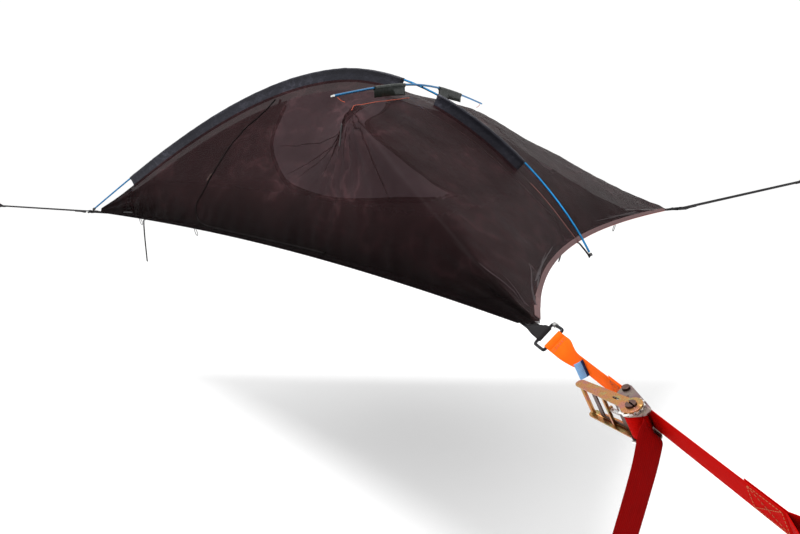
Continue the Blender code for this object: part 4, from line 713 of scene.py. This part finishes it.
def make_straps():
    """Tree straps, the near corner's two straps, the hanging tail and the winding on the spool."""
    black = (BLACK_WEBBING, "black_webbing", THREAD_DARK)
    orange = (ORANGE_WEBBING, "orange_webbing", THREAD_WARM)
    red = (RED_WEBBING, "red_webbing", THREAD_WARM)
    for name, reach, rise in (("foot", FOOT_STRAP_REACH, 0.0), ("far", FAR_STRAP_REACH, FAR_STRAP_RISE)):
        line = Corner(CORNERS[name].place - UP * LINK_OUTER_BAR * rise, -rise)
        begin = start_wrap(LINK_OUTER_BAR, BAR_WRAP, STRAP_SEWN)
        finish = end_wrap(reach, EYE_RADIUS, STRAP_SEWN, 2 * STRAP_EASE)
        middle = spaced(LINK_OUTER_BAR + STRAP_EASE, reach - 2 * STRAP_EASE)
        strap(name + "_tree_strap", line, untwisted, begin, middle, finish, black)
    bolt_at = SPOOL_FROM_CORNER - FRAME_LENGTH
    begin = start_wrap(LINK_OUTER_BAR, BAR_WRAP, SHORT_STRAP_SEWN, SHORT_STRAP_EASE)
    finish = end_wrap(bolt_at, BOLT_WRAP, SHORT_STRAP_SEWN, SHORT_STRAP_EASE)
    ends = (LINK_OUTER_BAR + SHORT_STRAP_EASE, bolt_at - SHORT_STRAP_EASE)
    middle = spaced(*ends, SHORT_STRAP_STEP)
    strap("short_strap", NEAR, near_twist, begin, middle, finish, orange)
    middle = spaced(SPOOL_FROM_CORNER - LONG_STRAP_INSIDE, LONG_STRAP_REACH - 2 * STRAP_EASE)
    finish = end_wrap(LONG_STRAP_REACH, EYE_RADIUS, STRAP_SEWN, 2 * STRAP_EASE)
    strap("long_strap", NEAR, near_twist, [], middle, finish, red)
    make_tail()
    make_winding()


def make_tail():
    """The loose end below the spool, turning from the spool's direction to hang free."""
    points = []
    for strapward, ahead, aside, down in TAIL_ROUTE:
        points.append(STRAPWARD * strapward + NEAR.along * ahead - NEAR.across * aside - UP * down)
    centres = through(points, TAIL_STEPS) + SPOOL_CENTRE
    normals = []
    across = []
    for k, step in enumerate(np.gradient(centres, axis=0)):
        direction = unit(step)
        share = float(smooth_step(k / TAIL_STEPS / TAIL_TWIST_SHARE))
        wide = (1 - share) * SPOOL_AXIS + share * NEAR.across
        wide = unit(wide - np.dot(wide, direction) * direction)
        across.append(wide)
        normals.append(np.cross(direction, wide))
    run = (centres, normals, across)
    tail = webbing("strap_tail_web", run, WEBBING_WIDTH, RED_SHADED, "red_webbing", node="strap_tail")


def make_winding():
    """Webbing through the spool's slot and round it."""
    exit_x = SPOOL_RADIUS + RUN_GAP
    path = [(x, 0.0) for x in np.linspace(-SPOOL_RADIUS * 0.8, exit_x * 0.9, 6)]
    path += arc((exit_x, -WOUND_BEND), WOUND_BEND, math.pi / 2, WOUND_START, 8)
    for step in range(1, WOUND_STEPS + 1):
        swept = WOUND_SWEEP * step / WOUND_STEPS
        radius = BEND_REACH + WOUND_BEND + WOUND_PITCH * swept / (2 * math.pi)
        path.append((radius * math.cos(WOUND_START - swept), radius * math.sin(WOUND_START - swept)))
    steps = np.gradient(np.array(path), axis=0)
    centres = np.array([on_ratchet(x, 0.0, z) for x, z in path])
    normals = [unit(NEAR.along * -dz + STRAPWARD * dx) for dx, dz in steps]
    run = (centres, normals, [SPOOL_AXIS] * len(path))
    said = {"body": "spool", "node": "wound_webbing"}
    webbing("wound_web", run, WEBBING_WIDTH, RED_WEBBING, "red_webbing", **said)


# Cloth

def welded(node):
    """A solid of the frame with its corners joined, as a bmesh."""
    body = body_of(NODES[node].data)
    bmesh.ops.remove_doubles(body, verts=body.verts, dist=WELD_REACH)
    body.normal_update()
    return body


def as_quads(body):
    turn = {"angle_face_threshold": math.pi, "angle_shape_threshold": math.pi}
    bmesh.ops.join_triangles(body, faces=body.faces, **turn)


def outer_sheet(node):
    """The outer face of a cloth solid, as quads."""
    body = welded(node)
    outward = {}
    for face in body.faces:
        centre = face.calc_center_median()
        outward[face] = face.normal.dot(Vector((0.0, centre.y, centre.z + OUTWARD_FROM)))
    seed = max((face for face in body.faces if outward[face] > 0.1), key=lambda face: face.calc_area())
    kept = {seed}
    edge = [seed]
    while edge:
        face = edge.pop()
        for border in face.edges:
            for other in border.link_faces:
                if other not in kept and other.normal.dot(face.normal) > SHEET_TURN:
                    kept.add(other)
                    edge.append(other)
    bmesh.ops.delete(body, geom=[face for face in body.faces if face not in kept], context="FACES")
    as_quads(body)
    return body


def subdivided(name, body, levels):
    """A bmesh rounded by subdivision, as mesh data."""
    mesh = poured(body, bpy.data.meshes.new(name))
    holder = link(bpy.data.objects.new(name, mesh))
    smooth = holder.modifiers.new("round", "SUBSURF")
    smooth.levels = levels
    smooth.boundary_smooth = "PRESERVE_CORNERS"
    depsgraph = bpy.context.evaluated_depsgraph_get()
    result = bpy.data.meshes.new_from_object(holder.evaluated_get(depsgraph))
    bpy.data.objects.remove(holder)
    bpy.data.meshes.remove(mesh)
    result.name = name
    return result


def coordinates(mesh):
    places = np.empty(len(mesh.vertices) * 3)
    normals = np.empty(len(mesh.vertices) * 3)
    mesh.vertices.foreach_get("co", places)
    mesh.vertices.foreach_get("normal", normals)
    return places.reshape(-1, 3), normals.reshape(-1, 3)


def long_axis(places):
    """The middle of some places and the direction that they reach furthest along."""
    centre = places.mean(axis=0)
    return centre, np.linalg.svd(places - centre)[2][0]


def move_to(mesh, places):
    mesh.vertices.foreach_set("co", places.ravel())
    mesh.update()


def tree_of(places):
    """A tree for finding the nearest of some places."""
    tree = KDTree(len(places))
    for k, place in enumerate(places):
        tree.insert(place, k)
    tree.balance()
    return tree


def edge_distance(mesh, places):
    """How far each point lies from the nearest open edge."""
    body = body_of(mesh)
    border = [vertex.co.copy() for vertex in body.verts if vertex.is_boundary]
    body.free()
    tree = tree_of(border)
    return np.array([tree.find(place)[2] for place in places])


def rumple(places, scale, octaves, shift):
    """Fractal noise at each point, about -1 to 1."""
    offset = Vector((shift, shift * 0.7, shift * 1.3))
    return np.array([noise.fractal(Vector(place) * scale + offset, 1.0, 2.0, octaves) for place in places])


def fan(places, origin, down, sideways, count, reach, spread, shift):
    """Folds that run out from a pulled point, fading with distance and away from their middle line."""
    away = places - origin
    distance = np.linalg.norm(away, axis=1)
    angle = np.arctan2(away @ sideways, away @ down)
    wander = rumple(places, 2.2, 2, shift) * 0.35
    folds = np.cos((angle / spread + wander / count) * math.pi * count)
    folds = np.sign(folds) * np.abs(folds) ** 0.7
    rise = smooth_step(distance / 0.07) * (1 - smooth_step((distance - 0.25 * reach) / (0.75 * reach)))
    return folds * rise * (1 - smooth_step((np.abs(angle) - 0.8 * spread) / (0.4 * spread)))


def eased(mesh, start, end):
    """Rounds off the crease of a sheet along a line."""
    body = body_of(mesh)
    chord = end - start
    near = []
    for vertex in body.verts:
        away = np.array(vertex.co) - start
        share = float(np.clip(away @ chord / (chord @ chord), 0.0, 1.0))
        apart = np.linalg.norm(away - chord * share)
        if apart < CREASE_REACH * min(1.0, 0.35 + 2 * share) and not vertex.is_boundary:
            near.append(vertex)
    axes = dict.fromkeys(("use_axis_x", "use_axis_y", "use_axis_z"), True)
    for _ in range(CREASE_PASSES):
        bmesh.ops.smooth_vert(body, verts=near, factor=0.5, **axes)
    poured(body, mesh)


def shell_relief(mesh, side):
    """Moves the points of a shell panel to its folds, puckers and crumples."""
    places, normals = coordinates(mesh)
    outward = np.sign(normals[:, 1] * places[:, 1] + normals[:, 2] * (places[:, 2] + OUTWARD_FROM))
    normals = normals * outward[:, None]
    gather = mirrored(GATHER, side)
    corner = mirrored(HEAD_NEAR, -side)
    shift = 5.0 + 3.0 * side
    down = unit(np.array([0.0, side * 0.2, -1.0]))
    height = FOLD_HEIGHT * fan(places, gather, down, np.array([1.0, 0.0, 0.0]), *GATHER_FAN, shift)
    inward = unit(np.array([-0.75, -side * 0.55, 0.36]))
    upward = unit(np.array([0.2, -side * 0.4, 1.0]))
    height += CORNER_PUCKER * fan(places, corner, inward, upward, *HEAD_FAN, shift)
    ahead = unit(np.array([1.0, side * 0.1, 0.25]))
    height += CORNER_PUCKER * fan(places, FOOT, ahead, UP, *FOOT_FAN, shift)
    low = 1 - smooth_step(places[:, 2] / RIPPLE_TOP)
    phase = places[:, 0] * 2 * math.pi / RIPPLE_PITCH + places[:, 2] * RIPPLE_LEAN
    height += HEM_PUCKER * low * np.sin(phase + 3 * rumple(places, 2.5, 2, shift))
    height += CRUMPLE * rumple(places, 4.5, 3, shift) + FINE_CRUMPLE * rumple(places, 15.0, 3, shift)
    height *= smooth_step(edge_distance(mesh, places) / RELIEF_EDGE)
    slider = np.mean(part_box("zip_slider_" + ("near" if side < 0 else "far")), axis=0)
    height *= smooth_step((np.linalg.norm(places - slider, axis=1) - SLIDER_CLEAR) / SLIDER_FADE)
    move_to(mesh, places + normals * height[:, None])


def line_of(node, reach):
    """The centre line of a strip or cord solid whose cross-sections lie further apart than reach."""
    body = welded(node)
    places = [np.array(vertex.co) for vertex in body.verts]
    body.free()
    centres = []
    while places:
        group = [place for place in places if np.linalg.norm(place - places[0]) < reach]
        places = [place for place in places if np.linalg.norm(place - places[0]) >= reach]
        centres.append(np.mean(group, axis=0))
    far = max(centres, key=lambda c: np.linalg.norm(c - np.mean(centres, axis=0)))
    line = [far]
    rest = [c for c in centres if c is not far]
    while rest:
        nearest = min(rest, key=lambda c: np.linalg.norm(c - line[-1]))
        line.append(nearest)
        rest = [c for c in rest if c is not nearest]
    return np.array(line)


def surface(mesh):
    """A tree for finding the nearest place on a mesh."""
    mesh.calc_loop_triangles()
    places = [vertex.co.copy() for vertex in mesh.vertices]
    return BVHTree.FromPolygons(places, [tuple(t.vertices) for t in mesh.loop_triangles])


def laid_on(tree, line, side, lift):
    """A line laid on a cloth surface, with the outward normals there."""
    centres = []
    normals = []
    for place in line:
        spot, normal, _, _ = tree.find_nearest(Vector(place))
        normal = np.array(normal)
        if normal[1] * side + normal[2] * 0.4 < 0:
            normal = -normal
        centres.append(np.array(spot) + normal * lift)
        normals.append(normal)
    return np.array(centres), np.array(normals)


def tape_run(tree, line, side):
    """A line laid on cloth for a tape: centres, normals and width directions."""
    centres, normals = laid_on(tree, line, side, TAPE_THICKNESS / 2 + CLEARANCE)
    along = np.gradient(centres, axis=0)
    return centres, normals, np.array([unit(np.cross(n, a)) for n, a in zip(normals, along)])


def zip_along(name, tree, line, side, width, node=None):
    """A zip: its tape with a ribbed coil along the middle."""
    run = tape_run(tree, line, side)
    webbing(name + "_tape", run, width, ZIP_TAPE, "zip_black", TAPE_THICKNESS, node=node)
    coil = (run[0] + run[1] * COIL_LIFT, *run[1:])
    webbing(name + "_coil", coil, COIL_WIDTH, ZIP_COIL, "zip_black", COIL_THICKNESS)


def pleat(body, tree, start, end, side):
    """A narrow fold of doubled cloth that runs out from a pulled point and fades."""
    shares = np.linspace(0.04, 1.0, PLEAT_STEPS)
    centres, normals = laid_on(tree, [start + (end - start) * share for share in shares], side, CLEARANCE)
    rows = []
    for centre, normal, share in zip(centres, normals, shares):
        size = max(0.02, min(1.0, share / 0.12) * (1 - share) ** 0.5)
        wide = unit(np.cross(normal, end - start)) * PLEAT_WIDTH / 2 * size
        crest = centre + normal * PLEAT_HEIGHT * size
        rows.append([body.verts.new(place) for place in (centre - wide, crest, centre + wide)])
    skin(body, rows, closed=False)


def make_folds(label, side, tree, mesh):
    """Folds by the gathered point and the head corner, and pipings under the spreader and on the ridge."""
    gather = mirrored(GATHER, side)
    folds = bmesh.new()
    for end in FOLD_ENDS:
        pleat(folds, tree, gather, mirrored(end, side), side)
    piece("shell_folds_" + label, mesh_of("folds", folds), SHELL_CLOTH, slot="shell_cloth")
    # The corner folds take a colour lighter than the shell: a painted highlight.
    highlit_creases = bmesh.new()
    for start, end in CORNER_FOLDS:
        pleat(highlit_creases, tree, mirrored(start, side), mirrored(end, side), side)
    piece("corner_folds_" + label, mesh_of("highlit_creases", highlit_creases), FOLD_HIGHLIGHT, slot="shell_cloth")
    places, _ = coordinates(mesh)
    ridge = places[np.abs(places[:, 1]) < RIDGE_HALF]
    crown = ridge[np.argmin(np.abs(ridge[:, 0] - gather[0]))]
    inner_end = gather + (crown - gather) * (1 - SEAM_INSIDE / GATHER[1])
    seam = [gather + (inner_end - gather) * share for share in np.linspace(0.06, 1.0, 24)]
    seam = laid_on(tree, seam, side, PIPING / 3)[0]
    tube("seam_piping_" + label, seam, PIPING, CORD_WARM)
    front = ridge[ridge[:, 0] > FRONT_SLEEVE_HEAD]
    front = front[np.argsort(front[:, 0])]
    tube("ridge_piping_" + label, front, PIPING, PIPING_DARK)


def head_band(label, side, tree):
    """The tape sewn along the head edge of a shell panel."""
    shares = np.linspace(HEAD_BAND_FROM, 0.5, 90)
    edge = [hem_frame("head", share if side < 0 else 1 - share) for share in shares]
    middle = [place + (inward + UP) * HEAD_BAND_WIDTH * HEAD_BAND_RISE for place, _, inward in edge]
    run = tape_run(tree, middle, side)
    webbing("head_band_" + label, run, HEAD_BAND_WIDTH, HEAD_BAND, "head_webbing", TAPE_THICKNESS)


def make_shell():
    """Both shell panels with their zips, folds and head tapes, and the inner walls."""
    for label, side in SIDES.items():
        mesh = subdivided("shell_" + label, outer_sheet("shell_panel_" + label), SHELL_LEVELS)
        eased(mesh, mirrored(GATHER, side), mirrored(HEAD_NEAR, -side))
        shell_relief(mesh, side)
        node = "shell_panel_" + label
        panel = piece("shell_cloth_" + label, mesh, SHELL_CLOTH, slot="shell_cloth", node=node)
        mesh.materials.append(SHELL_END)
        for face in mesh.polygons:
            face.material_index = int(face.center.x < SHELL_END_AT)
        tree = surface(mesh)
        route = through(line_of("door_zip_" + label, 0.02), 220)
        zip_along("door_" + label, tree, route, side, DOOR_ZIP_WIDTH, "door_zip_" + label)
        make_folds(label, side, tree, mesh)
        head_band(label, side, tree)
        make_inner(label, side)


def inside(outline, x, z):
    """Whether a point lies within an outline."""
    within = False
    for (x0, z0), (x1, z1) in zip(outline, outline[1:] + outline[:1]):
        if (z0 > z) != (z1 > z) and x < x0 + (z - z0) / (z1 - z0) * (x1 - x0):
            within = not within
    return within


def make_inner(label, side):
    """An inner wall with its dark base, its door and the zips round the door."""
    mesh = subdivided("inner_" + label, outer_sheet("inner_wall_" + label), INNER_LEVELS)
    places, normals = coordinates(mesh)
    fade = smooth_step(edge_distance(mesh, places) / INNER_FADE)
    wave = INNER_WAVE * rumple(places, 3.5, 3, 9.0 + side) * fade
    move_to(mesh, places + normals * wave[:, None])
    node = "inner_wall_" + label
    wall = piece("inner_cloth_" + label, mesh, INNER_CLOTH, slot="inner_cloth", node=node)
    mesh.materials.append(INNER_DOOR_PAINTED_LIGHT)
    mesh.materials.append(INNER_BASE)
    outlines = {"arc": through(INNER_ZIP_ARC, 60), "side": through(INNER_ZIP_SIDE, 40)}
    door = [tuple(place) for place in (*outlines["arc"], *outlines["side"][::-1], *INNER_DOOR_TOP)]
    # Faces inside the door outline take the pale door colour, which is painted light; faces lower down take
    # the dark base.
    for face in mesh.polygons:
        x, _, z = face.center
        if inside(door, x, z):
            face.material_index = 1
        elif z < INNER_BASE_TOP:
            face.material_index = 2
    tree = surface(mesh)
    for name, route in outlines.items():
        inwards = Vector((0.0, -side, 0.0))
        hits = [tree.ray_cast(Vector((x, side * 2.0, z)), inwards)[0] for x, z in route]
        spots = [np.array(hit) for hit in hits if hit is not None]
        zip_along(f"inner_{name}_{label}", tree, spots, side, INNER_ZIP_WIDTH)


def hem_point(start, end, sag, share):
    chord = end - start
    inward = unit(np.array([-chord[1], chord[0], 0.0]))
    return start + share * chord + 4 * sag * share * (1 - share) * inward


def hem_frame(hem, share):
    """A place on a hem with the directions along it and into the tent."""
    start, end, sag = HEMS[hem]
    place = hem_point(start, end, sag, share)
    along = unit(hem_point(start, end, sag, share + 0.001) - hem_point(start, end, sag, share - 0.001))
    return place, along, np.array([-along[1], along[0], 0.0])


HEMS = {
    "near": (FOOT, HEAD_NEAR, SIDE_SAG),
    "head": (HEAD_NEAR, HEAD_FAR, HEAD_SAG),
    "far": (HEAD_FAR, FOOT, SIDE_SAG),
}
HEM_CUTS = {"near": (0.125, 0.090), "head": (0.090, 0.090), "far": (0.090, 0.125)}


def make_hems():
    """Webbing along the edges with two rows of stitches, the head piping and small cord loops."""
    stitches = bmesh.new()
    for name, (start, end, _) in HEMS.items():
        length = np.linalg.norm(end - start)
        cut_start, cut_end = HEM_CUTS[name]
        shares = np.linspace(cut_start / length, 1 - cut_end / length, 120)
        spots = [hem_frame(name, share) for share in shares]
        inward = np.array([spot[2] for spot in spots])
        line = np.array([spot[0] for spot in spots]) + inward * HEM_WIDTH / 2
        ups = np.tile(UP, (len(line), 1))
        material = HEAD_WEBBING if name == "head" else BLACK_WEBBING
        slot = "head_webbing" if name == "head" else "black_webbing"
        run = (line, ups, inward)
        webbing("hem_web_" + name, run, HEM_WIDTH, material, slot, node="hem_webbing_" + name)
        for inset in (-HEM_WIDTH / 2 + HEM_STITCH_INSET, HEM_WIDTH / 2 - HEM_STITCH_INSET):
            seam = line + inward * inset - UP * WEBBING_THICKNESS / 2
            stitch_row(stitches, seam, -ups, HEM_STITCH_PITCH)
    piece("hem_stitches", mesh_of("stitches", stitches), THREAD_DARK, smooth=False)
    edge = [hem_frame("head", share)[0] for share in np.linspace(0.04, 0.96, 80)]
    tube("head_piping", edge, PIPING, CORD_WARM)
    loops = [(hem, share) for hem, shares in HEM_LOOPS.items() for share in shares]
    for k, (hem, share) in enumerate(loops):
        place, along, inward = hem_frame(hem, share)
        under = place + inward * 0.010 - UP * (WEBBING_THICKNESS / 2 + HEM_CORD / 2)
        outline = [*HEM_LOOP_HALF, *((-a, z) for a, z in reversed(HEM_LOOP_HALF[:-1]))]
        route = through([under + along * a + UP * z - inward * 0.25 * z for a, z in outline], 40)
        tube(f"hem_loop_{k}", route, HEM_CORD, CORD_BLACK)


def make_floor():
    """The floor cloth between the hems, hanging a little under its own weight."""
    rows = FLOOR_ROWS
    columns = FLOOR_COLUMNS
    edge = HEM_WIDTH - FLOOR_LAP

    def inset(hem, share):
        place, _, inward = hem_frame(hem, share)
        return place + inward * edge

    shares = np.linspace(0.0, CORNER_SEARCH, 200)
    side_ends = np.array([inset("near", 1 - share) for share in shares])
    head_ends = np.array([inset("head", share) for share in shares])
    apart = np.linalg.norm(side_ends[:, None] - head_ends, axis=2)
    side_end, head_end = (shares[k] for k in np.unravel_index(np.argmin(apart), apart.shape))
    near = [inset("near", share) for share in np.linspace(FLOOR_FOOT, 1 - side_end, rows + 1)]
    far = [inset("far", share) for share in np.linspace(1 - FLOOR_FOOT, side_end, rows + 1)]
    head = [inset("head", share) for share in np.linspace(head_end, 1 - head_end, columns + 1)]
    body = bmesh.new()
    uv = body.loops.layers.uv.new("weave")
    grid = []
    for r in range(rows + 1):
        t = r / rows
        line = []
        for c in range(columns + 1):
            s = c / columns
            chord = near[r] + (far[r] - near[r]) * s
            straight_head = head[0] + (head[-1] - head[0]) * s
            place = chord + (head[c] - straight_head) * t**3
            place = place - UP * FLOOR_SAG * math.sin(math.pi * s) * math.sin(math.pi * t) ** 0.7
            line.append(body.verts.new(place))
        grid.append(line)
    for face, _, _ in skin(body, grid, closed=False):
        for loop in face.loops:
            loop[uv].uv = loop.vert.co.xy
    mesh = mesh_of("floor", body)
    floor = piece("floor_cloth", mesh, FLOOR_CLOTH, slot="floor_cloth", node="floor_panel")


def lapped(places, line):
    """Points of a main sleeve with its fin drawn down over the seam below the pole."""
    tree = tree_of(line)
    moved = places.copy()
    for k, place in enumerate(places):
        centre, _, away = tree.find(place)
        if abs(place[1]) < 0.002 and away > FIN_START:
            share = (away - FIN_START) / (FIN_DEPTH - FIN_START)
            moved[k] += (place - np.array(centre)) / away * FIN_LAP * share
    return moved


def make_sleeves():
    """Sleeves drawn over the poles, with small puckers."""
    pole = through(line_of("main_pole", 0.02), 600)
    black = (SLEEVE_BLACK, "black_sleeve")
    green = (SLEEVE_GREEN, "green_sleeve")
    looks = dict.fromkeys(("main_sleeve_rear", "main_sleeve_front"), black)
    looks.update(dict.fromkeys(("spreader_sleeve_near", "spreader_sleeve_far"), green))
    for node, (material, slot) in looks.items():
        body = welded(node)
        as_quads(body)
        long_edges = [edge for edge in body.edges if edge.calc_length() > SLEEVE_CUT]
        bmesh.ops.subdivide_edges(body, edges=long_edges, cuts=3, use_grid_fill=True)
        mesh = poured(body, bpy.data.meshes.new(node))
        places, normals = coordinates(mesh)
        pucker = SLEEVE_PUCKER * rumple(places, 30.0, 3, 4.0)
        pucker += FINE_SLEEVE_PUCKER * rumple(places, 80.0, 2, 2.0)
        if node.startswith("main"):
            places = lapped(places, pole)
        move_to(mesh, places + normals * np.maximum(pucker, -CLEARANCE)[:, None])
        piece(node + "_cloth", mesh, material, slot=slot, node=node)


def make_corner_loops():
    """Sewn webbing loops that hold the links."""
    gap = WEBBING_THICKNESS + CLEARANCE
    for name, corner in CORNERS.items():
        turn = NEAR_LINK_TWIST if name == "near" else 0.0
        profile = [(s, -gap) for s in np.linspace(LOOP_LONG_END, LOOP_MOUTH, 16)]
        profile += arc((LINK_INNER_BAR, 0.0), BAR_WRAP, -math.pi / 2, math.pi / 2, 14)
        profile += [(s, gap) for s in np.linspace(LOOP_MOUTH, LOOP_SHORT_END, 5)]

        def twist(distance):
            return turn * float(smooth_step((distance - LOOP_TURN_AT) / LOOP_TURN_REACH))

        run = corner.lay(profile, twist)
        node = "corner_loop_" + name
        webbing("corner_web_" + name, run, LOOP_WIDTH, BLACK_WEBBING, "black_webbing", node=node)
        seams = bmesh.new()
        for start, end in LOOP_SEAMS:
            sewn_box(seams, corner, twist, start, end, LOOP_WIDTH, gap + WEBBING_THICKNESS / 2)
        piece("corner_stitches_" + name, mesh_of(name, seams), THREAD_DARK, smooth=False)


def level_run(points, steps, wide):
    """A run through points whose width keeps one direction."""
    centres = through(points, steps)
    normals = [unit(np.cross(step, wide)) for step in np.gradient(centres, axis=0)]
    return centres, normals, [wide] * len(centres)


def make_head_tab(under):
    """The tab that holds the cup under the head end of the main pole."""
    tip = np.mean(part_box("pole_cup_head"), axis=0)
    hem, _, inward = hem_frame("head", 0.5)
    ahead = -inward
    outward = unit(np.array([math.cos(TIP_PITCH), 0.0, -math.sin(TIP_PITCH)]))
    below = np.array([-math.sin(TIP_PITCH), 0.0, -math.cos(TIP_PITCH)])
    against = CUP_RADIUS + WEBBING_THICKNESS / 2 + 2 * CLEARANCE
    points = [
        hem - ahead * 0.024 - UP * under,
        hem - ahead * 0.012 - UP * under,
        hem - UP * (under + CLEARANCE),
        hem + ahead * 0.010 - UP * (under + 0.007),
        tip + below * (against + CLEARANCE) - outward * 0.010,
        tip + below * against + outward * 0.010,
    ]
    run = level_run(points, 40, np.array([0.0, 1.0, 0.0]))
    webbing("head_tab_web", run, TAB_WIDTH, BLACK_WEBBING, "black_webbing", node="head_pole_tab")


def make_hanging_strap(under):
    """The narrow strap that hangs below the near hem by the foot."""
    place, ahead, inward = hem_frame("near", HANGING_AT)
    route = [(0.022, under), (0.011, under), (0.002, under + 0.0013), (-0.004, under + 0.012)]
    route += [(-0.006, 0.10), (-0.004, 0.24)]
    run = level_run([place + inward * far - UP * down for far, down in route], 60, ahead)
    said = {"node": "hanging_strap"}
    hanging = webbing("hanging_strap_web", run, HANGING_WIDTH, BLACK_WEBBING, "black_webbing", **said)
    said = {"far_end": "bare", "lay": "hanging", "stiffness": "limp"}


def make_trim():
    """Tab under the head pole, strap hanging by the foot, ties, toggles and label."""
    under = WEBBING_THICKNESS + CLEARANCE
    make_head_tab(under)
    make_hanging_strap(under)
    for label in SIDES:
        node = "spreader_tie_" + label
        line = through(line_of(node, 0.004), 24)
        tie = tube("tie_cord_" + label, line, TIE_DIAMETER, CORD_WARM, node)
        make_toggle(label)
    make_label()


def make_toggle(label):
    """A turned toggle with a waist for its cord."""
    node = "tieback_toggle_" + label
    places, _ = coordinates(NODES[node].data)
    centre, axis = long_axis(places)
    half = np.abs((places - centre) @ axis).max()
    side = unit(np.cross(axis, np.array([1.0, 0.0, 0.0])))
    other = np.cross(axis, side)
    profile = (*TOGGLE_HALF, *((-along, wide) for along, wide in reversed(TOGGLE_HALF)))
    angles = [2 * math.pi * k / TOGGLE_SIDES for k in range(TOGGLE_SIDES)]
    spokes = [math.cos(angle) * side + math.sin(angle) * other for angle in angles]
    body = bmesh.new()
    rings = []
    for along, wide in profile:
        middle = centre + axis * half * along
        radius = TOGGLE_RADIUS * max(wide, 0.02)
        rings.append([body.verts.new(middle + spoke * radius) for spoke in spokes])
    skin(body, rings)
    body.faces.new(rings[0])
    body.faces.new(rings[-1])
    piece("toggle_" + label, mesh_of(node, body), TOGGLE_PLASTIC, slot="black_webbing", node=node)


def make_label():
    """A bare blue cloth label, folded and sewn into the short strap."""
    face = STRAP_LINE - LAYER - WEBBING_THICKNESS / 2 - CLEARANCE
    x = -FRAME_LENGTH - LABEL_FROM_BOLT
    centres = []
    for k, z in enumerate(np.linspace(face, face - LABEL_REACH, LABEL_STEPS + 1)):
        centres.append(on_ratchet(x + LABEL_BULGE * math.sin(3 * k / LABEL_STEPS), 0.0, z))
    count = len(centres)
    run = (np.array(centres), [NEAR.along] * count, [SPOOL_AXIS] * count)
    # The first rows of the label get a navy strip laid over them: painted shade where the label folds against
    # the strap.
    shade_rim = [part[:SHADE_RIM_STEPS] for part in run]
    said = {"node": "strap_label"}
    webbing("label_cloth", run, LABEL_WIDTH, LABEL_CLOTH, "blue_label", LABEL_THICKNESS, **said)
    webbing("label_shade_rim", shade_rim, LABEL_WIDTH + SHADE_RIM_OVERLAP, LABEL_SHADE, "blue_label", SHADE_RIM_THICKNESS)


def dress_metal():
    """Gives the carried-over solids their finishes and rounds their sharp edges."""
    groups = (
        (POLE_BLUE, ("main_pole", "spreader_pole")),
        (MAUVE_ZINC, ("ratchet_frame",)),
        (GOLD_ZINC, ("ratchet_handle",)),
        (DARK_STEEL, ("strap_bolt", "handle_pawl", "lock_pawl", "spool_half_upper", "spool_half_lower")),
        (DARK_STEEL, [name for name in NODES if name.startswith("zip_")]),
        (SILVER, ("strap_bolt_nut", "ratchet_wheel_near", "ratchet_wheel_far")),
        (SILVER, [name for name in NODES if "_tip_" in name or "link_nut" in name]),
        (BLACK_STEEL, ("link_foot", "link_near", "link_far")),
        (CUP_RUBBER, ("pole_cup_foot", "pole_cup_head")),
    )
    looks = {name: material for material, names in groups for name in names}
    for name, material in looks.items():
        solid = NODES[name]
        for slot in solid.material_slots:
            slot.material = material
        if name in ROUNDED:
            weld = solid.modifiers.new("weld", "WELD")
            weld.merge_threshold = WELD_REACH
            bevel = solid.modifiers.new("edges", "BEVEL")
            bevel.width = EDGE_ROUND
            bevel.segments = 2
            bevel.limit_method = "ANGLE"
            bevel.angle_limit = math.radians(40)
            bevel.harden_normals = True


def make_springs():
    """Springs between each pawl and the bar behind it, copied as they are from the carried-over solids."""
    for name, holder in (("lock_pawl", ROOT), ("handle_pawl", "handle")):
        node = name + "_spring"
        mesh = NODES[node].data.copy()
        mesh.transform(NODES[node].matrix_world)
        places, _ = coordinates(mesh)
        centre, along = long_axis(places)
        along = along * np.sign(along @ (centre - SPOOL_CENTRE))
        spring = piece(node + "_coil", mesh, SILVER, body=None, slot="silver", node=node)
        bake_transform(spring)


# Camera, floor and light

def make_camera():
    data = bpy.data.cameras.new("camera")
    data.sensor_width = SENSOR_WIDTH
    data.lens = CAMERA_LENS
    camera = bpy.data.objects.new("camera", data)
    forward = CAMERA_FORWARD.normalized()
    right = (CAMERA_RIGHT - forward * CAMERA_RIGHT.dot(forward)).normalized()
    turn = Matrix((right, right.cross(forward), -forward)).transposed().to_4x4()
    camera.matrix_world = Matrix.Translation(CAMERA_PLACE) @ turn
    bpy.context.scene.camera = link(camera)


def add_light(name, place, aim, size, energy):
    data = bpy.data.lights.new(name, "AREA")
    data.shape = "DISK"
    data.size = size
    data.energy = energy
    light = bpy.data.objects.new(name, data)
    light.location = place
    light.rotation_euler = (Vector(aim) - Vector(place)).to_track_quat("-Z", "Y").to_euler()
    link(light)


def make_stage():
    body = bmesh.new()
    bmesh.ops.create_grid(body, x_segments=2, y_segments=2, size=FLOOR_HALF)
    mesh = mesh_of("floor", body)
    floor = bpy.data.objects.new("studio_floor", mesh)
    floor.location.z = FLOOR_HEIGHT
    finish = Finish("studio_floor", gloss=0.0, roughness=0.9)
    stops = list(zip((0.3, 0.7), FLOOR_TONES))
    mesh.materials.append(finish.dressed(finish.ramp(finish.noise(finish.place(), 1.5), stops)))
    link(floor)
    world = bpy.data.worlds.new("studio")
    world.use_nodes = True
    background = world.node_tree.nodes["Background"].inputs
    background["Color"].default_value = (1.0, 1.0, 1.0, 1.0)
    background["Strength"].default_value = WORLD_STRENGTH
    bpy.context.scene.world = world
    bpy.context.scene.view_settings.view_transform = "Standard"
    for light in LIGHTS:
        add_light(*light)


make_camera()
make_stage()
make_straps()
make_shell()
make_hems()
make_floor()
make_sleeves()
make_corner_loops()
make_trim()
make_springs()
dress_metal()
